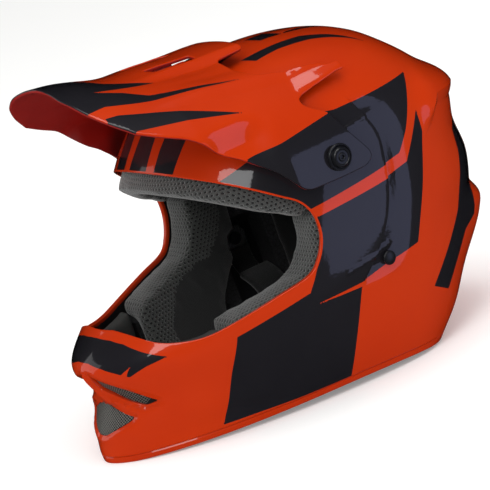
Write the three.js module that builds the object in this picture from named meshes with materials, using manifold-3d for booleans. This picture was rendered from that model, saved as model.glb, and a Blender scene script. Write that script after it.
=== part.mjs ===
// Motocross helmet: outer shell, hinged peak, impact foam, comfort pads and chin strap.
// Millimetres, +Z up, front faces -Y, +X is the wearer's left. It stands on its bottom rim.
import * as THREE from 'three';
import { mergeVertices } from 'three/addons/utils/BufferGeometryUtils.js';
import Module from 'manifold-3d';

const wasm = await Module();
wasm.setup();

// ---------------------------------------------------------------- driving dimensions
const GAP = 0.35; // clearance left between touching pieces
const SHELL_WALL = 4;
const EPS_OUT = 4.6; // depth below the shell surface where the impact foam begins
const EPS_IN = 25;
const PAD_IN = 33; // depth of the crown lining's face
const CHEEK_EPS_IN = 20;
const CHEEK_PAD_IN = 38;
const CHEEK_PAD_OUT = 5;
const CHIN_FOAM = [9, 24]; // outer and inner depth of the chin bar's foam
const BROW_PAD = [6, 24];
const NAPE_PAD_IN = 36;
const MESH_THICK = 1.6;
const CENTRE_Y = 9.15; // moves the whole helmet so that its box is centred on Y = 0

// Horizontal sections of the shell, bottom to top. Each is two half super-ellipses that meet
// at midY: height, front Y, rear Y, half width, midY, front exponent, rear exponent.
const SECTIONS = [
  [0, -183, 88, 90, 24, 1.75, 2.6],
  [22, -184, 114.5, 96, 22, 1.85, 2.5],
  [46, -174.5, 131, 101, 18, 1.95, 2.4],
  [70, -181.5, 147.5, 105, 12, 1.95, 2.3],
  [95, -158, 159, 109, 8, 1.95, 2.2],
  [120, -139, 163, 112, 8, 2, 2.2],
  [146, -121, 157.5, 113, 12, 2.05, 2.2],
  [172, -104, 159, 111, 18, 2.05, 2.2],
  [196, -87, 139, 104, 24, 2.05, 2.2],
  [216, -68, 116.5, 92, 28, 2.05, 2.2],
  [231, -42, 95.5, 72, 32, 2.05, 2.15],
  [240, -8, 70.5, 44, 32, 2.05, 2.1],
  [244, 30, 30, 0, 30, 2, 2],
];
const AROUND = 36; // facets round a section
const UP = 14; // facets from rim to crown

// Side outlines, as [Y, Z].
const PORT_EDGE = [
  [-94, 187], [-87, 183], [-69, 172], [-46, 156], [-35, 148], [-29, 138], [-27, 128],
  [-28, 117], [-33, 105], [-42, 96], [-66, 90], [-100, 82], [-118, 79], [-133, 80],
  [-146, 84], [-157, 94],
];
const RIM_ARCH = [
  [-170, 0.3], [-148, 1.3], [-110, 2.8], [-64, 4.5], [-24, 5.4], [9, 4.9], [37, 3.4], [60, 1],
];

const PIVOT = { y: -2, z: 170 }; // the peak's tilt axis, parallel to X
const RIVET = { y: 22, z: 85 }; // the chin strap's swing axis, parallel to X
const TOP_SCREW_LEAN = 20; // degrees that the top screw leans forward of vertical
const SHELL_HOLES = { pivot: 6.4, rivet: 3.4, topScrew: 5.4 }; // radii
const EAR_HOLE = 3.6;
const INSERT_POCKET = 10;

// How far each inner piece stays back from the port's edge.
const SETBACK = { crownEps: 8, cheekEps: 16, cheekPad: 1.5, chinFoam: 3 };

const PEAK_WALL = 2.6;
// Cross-sections of the peak about the line X = 0, Z = 150:
// Y, half width, height above that line, exponent.
const PEAK_AXIS_Z = 150;
const PEAK_SECTIONS = [
  [-165, 106, 118, 2], [-150, 110, 119, 2], [-131, 114, 117, 2], [-90, 119, 112, 2.05],
  [-50, 119, 106, 2.15], [0, 119, 100, 2.3], [50, 119, 99, 2.3],
];
// The peak's side outline, front tip to rear, as [Y, Z].
const PEAK_SIDE = [
  [-129, 232], [-115, 225], [-99, 218], [-91, 212], [-79, 199], [-66, 191], [-49, 176],
  [-37, 160], [-31, 156], [-4, 155.5], [18, 156], [25, 160], [25, 165], [15, 181], [6, 200],
  [-8, 209], [-8, 214], [7, 218], [28, 222],
];
// Front corner and rear edge of the peak seen from above, as [X, Y].
const PEAK_FRONT = [[0, -150], [35, -153], [56, -148], [68, -141], [75, -135], [82, -128]];
const PEAK_REAR = [[92, 28], [87, 18], [79, -6], [74, -24], [61, -29], [36, -26], [34, -1], [0, 0]];

const COLOURS = {
  shell: [0xc4300a, 0.18, 0], peak: [0xc4300a, 0.18, 0], foam: [0x3a3b3c, 0.9, 0],
  fabric: [0x2d302e, 0.85, 0], rubber: [0x151515, 0.7, 0], steel: [0x9a9ca0, 0.35, 1],
  plastic: [0x17171b, 0.35, 0], webbing: [0x121212, 0.8, 0], mesh: [0x24262a, 0.6, 0],
};

// ---------------------------------------------------------------- small helpers
const helmet = new THREE.Group();
helmet.position.y = CENTRE_Y;

function addPiece(name, body, finish, parent = helmet) {
  const geometry = body.isBufferGeometry ? body : toGeometry(body);
  const [color, roughness, metalness] = COLOURS[finish];
  const mesh = new THREE.Mesh(geometry, new THREE.MeshStandardMaterial({ color, roughness, metalness }));
  mesh.name = name;
  parent.add(mesh);
  return mesh;
}

function toSolid(geometry) {
  const bare = geometry.clone();
  bare.deleteAttribute('normal');
  bare.deleteAttribute('uv');
  const merged = mergeVertices(bare, 1e-4);
  return new wasm.Manifold(new wasm.Mesh({
    numProp: 3,
    vertProperties: new Float32Array(merged.attributes.position.array),
    triVerts: new Uint32Array(merged.index.array),
  }));
}

function toGeometry(solid) {
  const mesh = solid.getMesh();
  const geometry = new THREE.BufferGeometry();
  geometry.setAttribute('position', new THREE.BufferAttribute(mesh.vertProperties, 3));
  geometry.setIndex(new THREE.BufferAttribute(mesh.triVerts, 1));
  geometry.computeVertexNormals();
  return geometry;
}

// Prism of a [Y, Z] outline between two X values.
function sidePrism(outline, x0, x1) {
  const shape = new THREE.Shape(outline.map(([y, z]) => new THREE.Vector2(y, z)));
  const geometry = new THREE.ExtrudeGeometry(shape, { depth: x1 - x0, bevelEnabled: false });
  geometry.applyMatrix4(new THREE.Matrix4().makeBasis(
    new THREE.Vector3(0, 1, 0), new THREE.Vector3(0, 0, 1), new THREE.Vector3(1, 0, 0)));
  geometry.translate(x0, 0, 0);
  return toSolid(geometry);
}

// Prism of an [X, Z] outline between two Y values.
function frontPrism(outline, y0, y1) {
  const shape = new THREE.Shape(outline.map(([x, z]) => new THREE.Vector2(x, z)));
  const geometry = new THREE.ExtrudeGeometry(shape, { depth: y1 - y0, bevelEnabled: false });
  geometry.rotateX(Math.PI / 2);
  geometry.translate(0, y1, 0);
  return toSolid(geometry);
}

// Prism of an [X, Y] outline between two Z values.
function topPrism(outline, z0, z1) {
  const shape = new THREE.Shape(outline.map(([x, y]) => new THREE.Vector2(x, y)));
  const geometry = new THREE.ExtrudeGeometry(shape, { depth: z1 - z0, bevelEnabled: false });
  geometry.translate(0, 0, z0);
  return toSolid(geometry);
}

// Turned solid about the X axis line through (y, z). The profile is [X, radius] pairs.
function turned(profile, y, z, facets = 16) {
  const points = profile.map(([x, r]) => new THREE.Vector2(r, x));
  const geometry = new THREE.LatheGeometry(points, facets);
  geometry.rotateZ(-Math.PI / 2);
  geometry.translate(0, y, z);
  return toSolid(geometry);
}

const mirrored = (solid) => solid.mirror([1, 0, 0]);

// A polyline moved sideways by a distance (to its left, walking from first to last point).
function moved(path, distance) {
  return path.map((point, i) => {
    const before = path[Math.max(i - 1, 0)];
    const after = path[Math.min(i + 1, path.length - 1)];
    const direction = new THREE.Vector2(after[0] - before[0], after[1] - before[1]).normalize();
    return [point[0] - direction.y * distance, point[1] + direction.x * distance];
  });
}

// ---------------------------------------------------------------- the shell's surface
// The sections moved inwards by a depth: sideways low down, and along the dome near the crown.
function insetSections(depth) {
  return SECTIONS.map(([z, front, rear, half, mid, nf, nr], i) => {
    if (half === 0) return [z - depth, mid, mid, 0, mid, nf, nr];
    const below = SECTIONS[Math.max(i - 1, 0)];
    const above = SECTIONS[Math.min(i + 1, SECTIONS.length - 1)];
    const slope = z > 130 ? (below[3] - above[3]) / (above[0] - below[0]) : 0;
    const sideways = depth / Math.hypot(1, slope);
    const down = sideways * Math.max(slope, 0);
    return [z - down, front + sideways, rear - sideways, half - sideways, mid, nf, nr];
  });
}

function smoothSections(rows, t) {
  const last = rows.length - 1;
  const i = Math.min(Math.floor(t), last - 1);
  const f = t - i;
  const at = (k) => {
    if (k < 0) return rows[0].map((v, c) => 2 * v - rows[1][c]);
    if (k <= last) return rows[k];
    const near = rows[last - 1];
    return [near[0], near[2], near[1], -near[3], near[4], near[5], near[6]];
  };
  const [p0, p1, p2, p3] = [at(i - 1), at(i), at(i + 1), at(i + 2)];
  return p1.map((v, c) => 0.5 * (2 * v + (p2[c] - p0[c]) * f
    + (2 * p0[c] - 5 * v + 4 * p2[c] - p3[c]) * f * f
    + (3 * v - p0[c] - 3 * p2[c] + p3[c]) * f * f * f));
}

// The low spoiler across the back: how far it stands out at a place on the shell.
function spoilerStandOff(x, z) {
  const rise = THREE.MathUtils.smoothstep(z, 22, 79) * (1 - THREE.MathUtils.smoothstep(z, 80, 98));
  return 13 * rise * (1 - THREE.MathUtils.smoothstep(Math.abs(x), 58, 88));
}

function shellPoint(rows, angle, t, withSpoiler) {
  const [z, front, rear, half, mid, nf, nr] = smoothSections(rows, t);
  const c = Math.cos(angle);
  const s = Math.sin(angle);
  const n = s > 0 ? nr : nf;
  const reach = s > 0 ? rear - mid : mid - front;
  const x = half * Math.sign(c) * Math.abs(c) ** (2 / n);
  const y = mid + reach * Math.sign(s) * Math.abs(s) ** (2 / n);
  const out = withSpoiler && s > 0 ? spoilerStandOff(x, z) * s : 0;
  return new THREE.Vector3(x, y + out, z);
}

// Closed solid inside the surface at a depth. Its flat bottom lies at the height given.
function domeSolid(depth, bottom, withSpoiler = false) {
  const rows = insetSections(depth);
  const top = rows.length - 1;
  const rings = [];
  for (let k = 0; k <= UP; k += 1) {
    const t = (k * top) / UP;
    const ring = [];
    for (let j = 0; j < AROUND; j += 1) {
      ring.push(shellPoint(rows, (j * 2 * Math.PI) / AROUND, t, withSpoiler));
    }
    rings.push(k === UP ? [ring[0]] : ring);
  }
  if (bottom < 0) rings.unshift(rings[0].map((p) => new THREE.Vector3(p.x, p.y, bottom)));
  rings.unshift([new THREE.Vector3(0, rows[0][4], Math.min(bottom, 0))]);
  const positions = rings.flat().flatMap((p) => [p.x, p.y, p.z]);
  const faces = [];
  let start = 0;
  for (let k = 0; k < rings.length - 1; k += 1) {
    const next = start + rings[k].length;
    for (let j = 0; j < AROUND; j += 1) {
      const j2 = (j + 1) % AROUND;
      const a = start + (rings[k].length > 1 ? j : 0);
      const b = start + (rings[k].length > 1 ? j2 : 0);
      const c = next + (rings[k + 1].length > 1 ? j2 : 0);
      const d = next + (rings[k + 1].length > 1 ? j : 0);
      if (a !== b) faces.push(a, b, c);
      if (c !== d) faces.push(a, c, d);
    }
    start = next;
  }
  const geometry = new THREE.BufferGeometry();
  geometry.setAttribute('position', new THREE.Float32BufferAttribute(positions, 3));
  geometry.setIndex(faces);
  return toSolid(geometry);
}

// A layer of the helmet between two depths.
const layer = (outer, inner) => domeSolid(outer, -6).subtract(domeSolid(inner, -12));

// Whether a point is inside the surface at a depth (a negative depth swells the shell).
function insideDome(rows, x, y, z) {
  const top = rows[rows.length - 1][0];
  if (z >= top) return false;
  let low = 0;
  let high = rows.length - 1;
  for (let k = 0; k < 24; k += 1) {
    const middle = (low + high) / 2;
    if (smoothSections(rows, middle)[0] < z) low = middle;
    else high = middle;
  }
  const [, front, rear, half, mid, nf, nr] = smoothSections(rows, low);
  const n = y > mid ? nr : nf;
  const reach = y > mid ? rear - mid : mid - front;
  return (Math.abs(x) / half) ** n + (Math.abs(y - mid) / reach) ** n < 1;
}

function halfWidthAt(y, z, depth = 0) {
  const rows = insetSections(depth);
  let low = 0;
  let high = 200;
  for (let k = 0; k < 30; k += 1) {
    const middle = (low + high) / 2;
    if (insideDome(rows, middle, y, z)) low = middle;
    else high = middle;
  }
  return low;
}

// ---------------------------------------------------------------- region outlines
const portCut = (distance) => sidePrism(
  [[-300, PORT_EDGE[0][1] + distance], ...moved(PORT_EDGE, distance),
    [-300, PORT_EDGE[PORT_EDGE.length - 1][1] - distance]], -200, 200);
const slab = (y0, y1, z0, z1) => [[y0, z0], [y1, z0], [y1, z1], [y0, z1]];

const pivotX = halfWidthAt(PIVOT.y, PIVOT.z);
const rivetX = halfWidthAt(RIVET.y, RIVET.z);

// ---------------------------------------------------------------- outer shell
const UPPER_VENT = [[5, 67], [45, 41], [38, 39.5], [5, 53]];
const LOWER_VENT = [[-30, 33], [-5, 22], [5, 22], [30, 33], [0, 44]];
const CHIN_SPAN = [-220, -120]; // the Y range that cuts in the chin reach through
const mirrorOutline = (outline) => outline.map(([a, b]) => [-a, b]).reverse();

const topScrewTurn = new THREE.Matrix4().makeTranslation(0, PIVOT.y, PIVOT.z)
  .multiply(new THREE.Matrix4().makeRotationX(THREE.MathUtils.degToRad(TOP_SCREW_LEAN)));

// Turned solid about the top screw's line. The profile is [height above the pivot, radius].
function turnedOnTop(profile, facets = 14) {
  const points = profile.map(([h, r]) => new THREE.Vector2(r, h));
  const geometry = new THREE.LatheGeometry(points, facets);
  geometry.rotateX(Math.PI / 2);
  geometry.applyMatrix4(topScrewTurn);
  return toSolid(geometry);
}

function topRadius() {
  const lean = THREE.MathUtils.degToRad(TOP_SCREW_LEAN);
  let low = 0;
  let high = 150;
  for (let k = 0; k < 30; k += 1) {
    const middle = (low + high) / 2;
    const y = PIVOT.y - middle * Math.sin(lean);
    const z = PIVOT.z + middle * Math.cos(lean);
    if (insideDome(SECTIONS, 0, y, z)) low = middle;
    else high = middle;
  }
  return low;
}
const topX = topRadius();

const hole = (x0, x1, r) => [[x0, 0], [x0, r], [x1, r], [x1, 0]];
const pivotHole = turned(hole(pivotX - 20, pivotX + 20, SHELL_HOLES.pivot), PIVOT.y, PIVOT.z);
const rivetHole = turned(hole(rivetX - 20, rivetX + 20, SHELL_HOLES.rivet), RIVET.y, RIVET.z);

let shell = domeSolid(0, 0, true).subtract(domeSolid(SHELL_WALL, -12));
shell = shell.subtract(portCut(0));
shell = shell.subtract(sidePrism([[-176, -9], ...RIM_ARCH, [78, -9]], -150, 150));
for (const vent of [UPPER_VENT, mirrorOutline(UPPER_VENT), LOWER_VENT]) {
  shell = shell.subtract(frontPrism(vent, ...CHIN_SPAN));
}
for (const cut of [pivotHole, rivetHole]) {
  shell = shell.subtract(cut);
  shell = shell.subtract(mirrored(cut));
}
shell = shell.subtract(turnedOnTop(hole(topX - 20, topX + 12, SHELL_HOLES.topScrew)));
addPiece('outer_shell', shell, 'shell');

// ---------------------------------------------------------------- impact foam
const CHEEK_REAR = 3; // low down the cheek blocks end here, and the strap hangs behind them
const CHEEK_STEP = 97; // above the strap's anchors they reach further back, to this Y
const CHEEK_TOP_REAR = 14;
const CHEEK_TOP = 136;
const CROWN_EPS_FRONT = 41; // the crown foam's low part begins here
const CROWN_EPS_LOW = 104;
const CROWN_EPS_BOTTOM = 20;
const BLOCK_FRONT = -98; // where the cheek blocks meet the chin bar's foam
const BLOCK_BOTTOM = 22;

const insertPocket = turned(hole(pivotX - 17, pivotX + 2, INSERT_POCKET), PIVOT.y, PIVOT.z);
let crown = layer(EPS_OUT, EPS_IN).subtract(portCut(SETBACK.crownEps));
for (const [rear, top] of [[CROWN_EPS_FRONT, CROWN_EPS_LOW], [CHEEK_TOP_REAR + 1, CHEEK_TOP + 1],
  [300, CROWN_EPS_BOTTOM]]) {
  crown = crown.subtract(sidePrism(slab(-300, rear, -20, top), -200, 200));
}
crown = crown.subtract(insertPocket).subtract(mirrored(insertPocket));
crown = crown.subtract(turnedOnTop(hole(topX - 22, topX + 4, INSERT_POCKET)));
addPiece('eps_crown_liner', crown, 'foam');

const cheekUpper = [[CHEEK_REAR, CHEEK_STEP], [CHEEK_TOP_REAR, CHEEK_STEP], [CHEEK_TOP_REAR, CHEEK_TOP],
  [BLOCK_FRONT, CHEEK_TOP]];
const BLOCK_REAR_EDGE = [[CHEEK_REAR, BLOCK_BOTTOM]];
const CUSHION_REAR_EDGE = [[-22, BLOCK_BOTTOM], [-18, 52], [-6, 67], [CHEEK_REAR, 76]];
const cheekRegion = (rearEdge) => sidePrism(
  [[BLOCK_FRONT, BLOCK_BOTTOM], ...rearEdge, ...cheekUpper], 5, 200);
const cheekEps = layer(EPS_OUT, CHEEK_EPS_IN).intersect(cheekRegion(BLOCK_REAR_EDGE))
  .subtract(portCut(SETBACK.cheekEps));
const STUDS = [[-52, 44], [-28, 70]];
const STUD_POCKET = 7;
const studAt = ([y, z]) => {
  const x = halfWidthAt(y, z, CHEEK_EPS_IN);
  return { x, y, z };
};
let cheekEpsLeft = cheekEps;
let cheekPad = layer(CHEEK_PAD_OUT, CHEEK_PAD_IN).intersect(cheekRegion(CUSHION_REAR_EDGE))
  .subtract(portCut(SETBACK.cheekPad));
cheekPad = cheekPad.subtract(layer(CHEEK_PAD_OUT - 3, CHEEK_EPS_IN + GAP)
  .intersect(sidePrism(slab(-140, 40, 15, 160), 2, 200)).subtract(portCut(SETBACK.cheekEps - GAP)));
for (const place of STUDS.map(studAt)) {
  const pocket = turned(hole(place.x - 5, place.x + 5, STUD_POCKET), place.y, place.z, 16);
  cheekEpsLeft = cheekEpsLeft.subtract(pocket);
  cheekPad = cheekPad.subtract(pocket);
}
addPiece('eps_cheek_block_left', cheekEpsLeft, 'foam');
addPiece('eps_cheek_block_right', mirrored(cheekEpsLeft), 'foam');
addPiece('cheek_pad_left', cheekPad, 'fabric');
addPiece('cheek_pad_right', mirrored(cheekPad), 'fabric');
STUDS.map(studAt).forEach((place, i) => {
  const stud = turned([[place.x - 3, 0], [place.x - 3, 4], [place.x - 0.5, 4], [place.x - 0.5, 6],
    [place.x + 1.5, 6], [place.x + 1.5, 3], [place.x + 4, 3], [place.x + 4, 0]], place.y, place.z, 16);
  addPiece(`cheek_stud_left_${i + 1}`, stud, 'plastic');
  addPiece(`cheek_stud_right_${i + 1}`, mirrored(stud), 'plastic');
});

const CHIN_FOAM_REAR = -102;
const CHIN_FOAM_BOTTOM = 16;
const chinFoam = layer(...CHIN_FOAM)
  .intersect(sidePrism(slab(-200, CHIN_FOAM_REAR, CHIN_FOAM_BOTTOM, 200), -150, 150))
  .subtract(portCut(SETBACK.chinFoam));
addPiece('chin_bar_foam', chinFoam, 'foam');

// ---------------------------------------------------------------- comfort lining
const BROW_TOP = 7; // how far the pad runs up behind the port's edge
const BROW_DROPS = [13, 13, 13, 12, 9, 5]; // how far it hangs into the port, front to rear
const browPath = PORT_EDGE.slice(0, BROW_DROPS.length);
const browRegion = [[-300, browPath[0][1] - BROW_DROPS[0]],
  ...BROW_DROPS.map((drop, i) => moved(browPath, -drop)[i]),
  ...moved(browPath, BROW_TOP).reverse(), [-300, browPath[0][1] + BROW_TOP]];
const browPad = layer(...BROW_PAD).intersect(sidePrism(browRegion, -150, 150));
addPiece('brow_pad', browPad, 'fabric');

// What each pad covers, seen from the side as [Y, Z].
const CROWN_PAD_SIDE = [[-70, 176], [-40, 152], [20, 138], [150, 138], [150, 260], [-70, 260]];
const SIDE_PAD_SIDE = slab(20, 78, 108, 134);
const NAPE_PAD_SIDE = slab(46, 160, 24, 100);
const crownPad = layer(EPS_IN + GAP, PAD_IN).intersect(sidePrism(CROWN_PAD_SIDE, -150, 150));
addPiece('crown_pad', crownPad, 'fabric');
const sidePad = layer(EPS_IN + GAP, PAD_IN).intersect(sidePrism(SIDE_PAD_SIDE, 20, 150));
addPiece('side_pad_left', sidePad, 'fabric');
addPiece('side_pad_right', mirrored(sidePad), 'fabric');
const napePad = layer(EPS_IN + GAP, NAPE_PAD_IN).intersect(sidePrism(NAPE_PAD_SIDE, -150, 150));
addPiece('nape_pad', napePad, 'fabric');

// ---------------------------------------------------------------- chin vent meshes
const meshSheet = layer(SHELL_WALL + GAP, SHELL_WALL + GAP + MESH_THICK);
const UPPER_MESH = [[3.5, 69], [48, 43], [40, 38], [3.5, 49.5]];
const upperMesh = meshSheet.intersect(frontPrism(UPPER_MESH, ...CHIN_SPAN));
addPiece('chin_vent_mesh_left', upperMesh, 'mesh');
addPiece('chin_vent_mesh_right', mirrored(upperMesh), 'mesh');
const LOWER_MESH = [[-33, 33], [-6, 19.5], [6, 19.5], [33, 33], [0, 46]];
addPiece('chin_vent_mesh_centre', meshSheet.intersect(frontPrism(LOWER_MESH, ...CHIN_SPAN)), 'mesh');

// ---------------------------------------------------------------- peak
function peakSectionRadius(theta, y) {
  const stations = PEAK_SECTIONS;
  let i = 0;
  while (i < stations.length - 2 && y > stations[i + 1][0]) i += 1;
  const f = THREE.MathUtils.clamp((y - stations[i][0]) / (stations[i + 1][0] - stations[i][0]), 0, 1);
  const [, half, height, n] = stations[i].map((v, c) => v + (stations[i + 1][c] - v) * f);
  return ((Math.abs(Math.sin(theta)) / half) ** n + (Math.abs(Math.cos(theta)) / height) ** n) ** (-1 / n);
}

const TILT_DOWN = 4;
const TILT_UP = 8;
const SWELL = insetSections(-3.2); // the shell with the peak's clearance round it
const TILTS = [-TILT_UP, -TILT_UP / 2, 0, TILT_DOWN].map(THREE.MathUtils.degToRad);

// Smallest radius that clears the shell at every tilt of the peak.
function clearRadius(theta, y) {
  let low = 40;
  let high = 180;
  for (let k = 0; k < 16; k += 1) {
    const r = (low + high) / 2;
    const x = r * Math.sin(theta);
    const dy = y - PIVOT.y;
    const dz = PEAK_AXIS_Z + r * Math.cos(theta) - PIVOT.z;
    const hit = TILTS.some((a) => insideDome(SWELL, x,
      PIVOT.y + dy * Math.cos(a) - dz * Math.sin(a), PIVOT.z + dy * Math.sin(a) + dz * Math.cos(a)));
    if (hit) low = r;
    else high = r;
  }
  return high;
}

const TUCK_DEPTH = 9; // how far the sides dip in behind the front corners
const SCOOP_RISE = 5.5; // how far the middle stands up towards its rear edge
const TOP_DIP = 6; // how far the top sinks between the two flanks

function peakInnerRadius(theta, y) {
  const { smoothstep } = THREE.MathUtils;
  const degrees = THREE.MathUtils.radToDeg(Math.abs(theta));
  const tuck = TUCK_DEPTH * smoothstep(degrees, 54, 64) * smoothstep(y, -96, -78)
    * (1 - smoothstep(y, -60, -36));
  const x = 100 * Math.sin(theta);
  const scoop = SCOOP_RISE * (1 - smoothstep(Math.abs(x), 26, 38)) * smoothstep(y, -110, -40);
  const dip = TOP_DIP * (1 - smoothstep(degrees, 10, 45)) * smoothstep(y, -140, -80)
    * (1 - 0.6 * smoothstep(y, -50, 0));
  const section = peakSectionRadius(theta, y) - PEAK_WALL;
  return Math.max(section - tuck + scoop - dip, clearRadius(theta, y));
}

function peakPlate() {
  const [across, along] = [28, 16];
  const [y0, y1] = [-160, 34];
  const widest = THREE.MathUtils.degToRad(96);
  const rows = [];
  for (let i = 0; i <= across; i += 1) {
    const theta = -widest + (2 * widest * i) / across;
    const row = [];
    for (let k = 0; k <= along; k += 1) {
      const y = y0 + ((y1 - y0) * k) / along;
      row.push({ theta, y, r: peakInnerRadius(theta, y) });
    }
    rows.push(row);
  }
  const points = [];
  for (const wall of [PEAK_WALL, 0]) {
    for (const row of rows) {
      for (const { theta, y, r } of row) {
        points.push((r + wall) * Math.sin(theta), y, PEAK_AXIS_Z + (r + wall) * Math.cos(theta));
      }
    }
  }
  const width = along + 1;
  const inner = (across + 1) * width;
  const faces = [];
  const quad = (a, b, c, d) => faces.push(a, b, c, a, c, d);
  for (let i = 0; i < across; i += 1) {
    for (let k = 0; k < along; k += 1) {
      const a = i * width + k;
      quad(a, a + width, a + width + 1, a + 1);
      quad(inner + a, inner + a + 1, inner + a + width + 1, inner + a + width);
    }
    const a = i * width;
    quad(a, inner + a, inner + a + width, a + width);
    const b = a + along;
    quad(b, b + width, inner + b + width, inner + b);
  }
  for (let k = 0; k < along; k += 1) {
    quad(k, k + 1, inner + k + 1, inner + k);
    const a = across * width + k;
    quad(a, inner + a, inner + a + 1, a + 1);
  }
  const geometry = new THREE.BufferGeometry();
  geometry.setAttribute('position', new THREE.Float32BufferAttribute(points, 3));
  geometry.setIndex(faces);
  return toSolid(geometry);
}

// What the side outline keeps: everything above the lower edge and in front of the ear's edge.
const sideKeep = [[-200, 300], [-200, 232], ...PEAK_SIDE, [60, 222], [60, 300]].reverse();
const frontHalf = [...mirrorOutline(PEAK_FRONT.slice(1)), ...PEAK_FRONT];
const rearHalf = [...PEAK_REAR, ...mirrorOutline(PEAK_REAR.slice(0, -1))];
const topKeep = [...frontHalf, [130, -100], [130, 60], [92, 60], ...rearHalf, [-92, 60], [-130, 60],
  [-130, -100]];
let peak = peakPlate().intersect(sidePrism(sideKeep, -200, 200));
peak = peak.intersect(topPrism(topKeep, 100, 300));
const PEAK_VENT = [[13, -74], [25, -70], [27, -36], [13, -34]];
for (const vent of [PEAK_VENT, mirrorOutline(PEAK_VENT)]) {
  peak = peak.subtract(topPrism(vent, 200, 300));
}

// Tongue under the scoop: an arc about the tilt axis, with the slot for the top screw.
function arcOutline(inner, outer, fromDegrees, toDegrees, steps = 8) {
  const arc = (radius, from, to) => Array.from({ length: steps + 1 }, (_, i) => {
    const a = THREE.MathUtils.degToRad(from + ((to - from) * i) / steps);
    return [PIVOT.y - radius * Math.sin(a), PIVOT.z + radius * Math.cos(a)];
  });
  return [...arc(inner, toDegrees, fromDegrees), ...arc(outer, fromDegrees, toDegrees)];
}
const TONGUE_THICK = 2.4;
const TONGUE_HALF_WIDTH = 11;
const SLOT_HALF_WIDTH = 3.3;
const SLOT_END_PLAY = 3; // degrees past the joint's limits
const tongueIn = topX + 6;
const tongueOut = tongueIn + TONGUE_THICK;
const slotFrom = TOP_SCREW_LEAN - TILT_DOWN - SLOT_END_PLAY;
const slotTo = TOP_SCREW_LEAN + TILT_UP + SLOT_END_PLAY;
const tongueTo = slotTo + 8;
let tongue = sidePrism(arcOutline(tongueIn, tongueOut, slotFrom - 5, tongueTo),
  -TONGUE_HALF_WIDTH, TONGUE_HALF_WIDTH);
tongue = tongue.subtract(sidePrism(arcOutline(tongueIn - 2, tongueOut + 2, slotFrom, slotTo),
  -SLOT_HALF_WIDTH, SLOT_HALF_WIDTH));
const SCOOP_ROOF_Z = 252.6; // a height inside the scoop's wall where the ribs end
const ribFoot = arcOutline(tongueIn + 0.5, tongueIn + 1, slotTo, tongueTo).slice(0, 9);
const ribOutline = [...ribFoot, [-48, SCOOP_ROOF_Z], [-62, SCOOP_ROOF_Z]];
for (const x of [-TONGUE_HALF_WIDTH, TONGUE_HALF_WIDTH - TONGUE_THICK]) {
  tongue = tongue.add(sidePrism(ribOutline, x, x + TONGUE_THICK));
}
peak = peak.add(tongue);
const peakHole = turned(hole(pivotX - 5, pivotX + 30, EAR_HOLE), PIVOT.y, PIVOT.z);
peak = peak.subtract(peakHole).subtract(mirrored(peakHole));
addPiece('peak', peak, 'peak');

// ---------------------------------------------------------------- peak fasteners
// How far out the peak's ear reaches under the head of the side screw.
function earReach() {
  let reach = 0;
  for (let y = PIVOT.y - 12; y <= PIVOT.y + 12; y += 4) {
    for (let degrees = 70; degrees <= 90; degrees += 2) {
      const theta = THREE.MathUtils.degToRad(degrees);
      reach = Math.max(reach, (peakInnerRadius(theta, y) + PEAK_WALL) * Math.sin(theta));
    }
  }
  return reach;
}
const headX = earReach() + GAP;

// Profiles of the side fasteners as [distance out from the shell's surface, radius].
const INSERT_PROFILE = [[-13, 3.4], [-13, 6], [-10.4, 6], [-10.4, 8.5], [-8.2, 8.5], [-8.2, 6], [-2, 6],
  [-2, 3.4], [-13, 3.4]];
const WASHER_PROFILE = [[1.4, 3.5], [1.4, 7], [3, 7], [3, 3.5], [1.4, 3.5]];
const atPivot = (profile) => turned(profile.map(([out, r]) => [pivotX + out, r]), PIVOT.y, PIVOT.z);
const insert = atPivot(INSERT_PROFILE);
addPiece('screw_insert_left', insert, 'steel');
addPiece('screw_insert_right', mirrored(insert), 'steel');
const washer = atPivot(WASHER_PROFILE);
addPiece('washer_left', washer, 'rubber');
addPiece('washer_right', mirrored(washer), 'rubber');
let sideScrew = turned([[pivotX - 10, 0], [pivotX - 10, 3], [headX, 3], [headX, 9.6], [headX + 2, 9.6],
  [headX + 2.4, 7.4], [headX + 4.6, 6.6], [headX + 5, 0]], PIVOT.y, PIVOT.z, 24);
sideScrew = sideScrew.subtract(turned(hole(headX + 3, headX + 8, 3.4), PIVOT.y, PIVOT.z, 6));
addPiece('side_screw_left', sideScrew, 'plastic');
addPiece('side_screw_right', mirrored(sideScrew), 'plastic');

const topInsert = turnedOnTop([[topX - 12, 2.6], [topX - 12, 5], [topX - 8, 5], [topX - 8, 8],
  [topX - 5.6, 8], [topX - 5.6, 5], [topX - 0.8, 5], [topX - 0.8, 2.6], [topX - 12, 2.6]]);
addPiece('screw_insert_top', topInsert, 'steel');
const topScrew = turnedOnTop([[topX - 10, 0], [topX - 10, 2.3], [tongueOut + 0.4, 2.3],
  [tongueOut + 0.4, 6.5], [tongueOut + 2.6, 5.8], [tongueOut + 3, 0]]);
addPiece('top_screw', topScrew, 'plastic');

// ---------------------------------------------------------------- chin strap
const innerWall = halfWidthAt(RIVET.y, RIVET.z, SHELL_WALL);
const rivet = turned([[innerWall - 8.6, 0], [innerWall - 8.6, 5], [innerWall - 7.6, 5],
  [innerWall - 7.6, 3], [rivetX + 1.6, 3], [rivetX + 1.6, 5.4], [rivetX + 2.6, 4.8],
  [rivetX + 3.4, 2.8], [rivetX + 3.6, 0]], RIVET.y, RIVET.z);
addPiece('strap_rivet_left', rivet, 'plastic');
addPiece('strap_rivet_right', mirrored(rivet), 'plastic');

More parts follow.
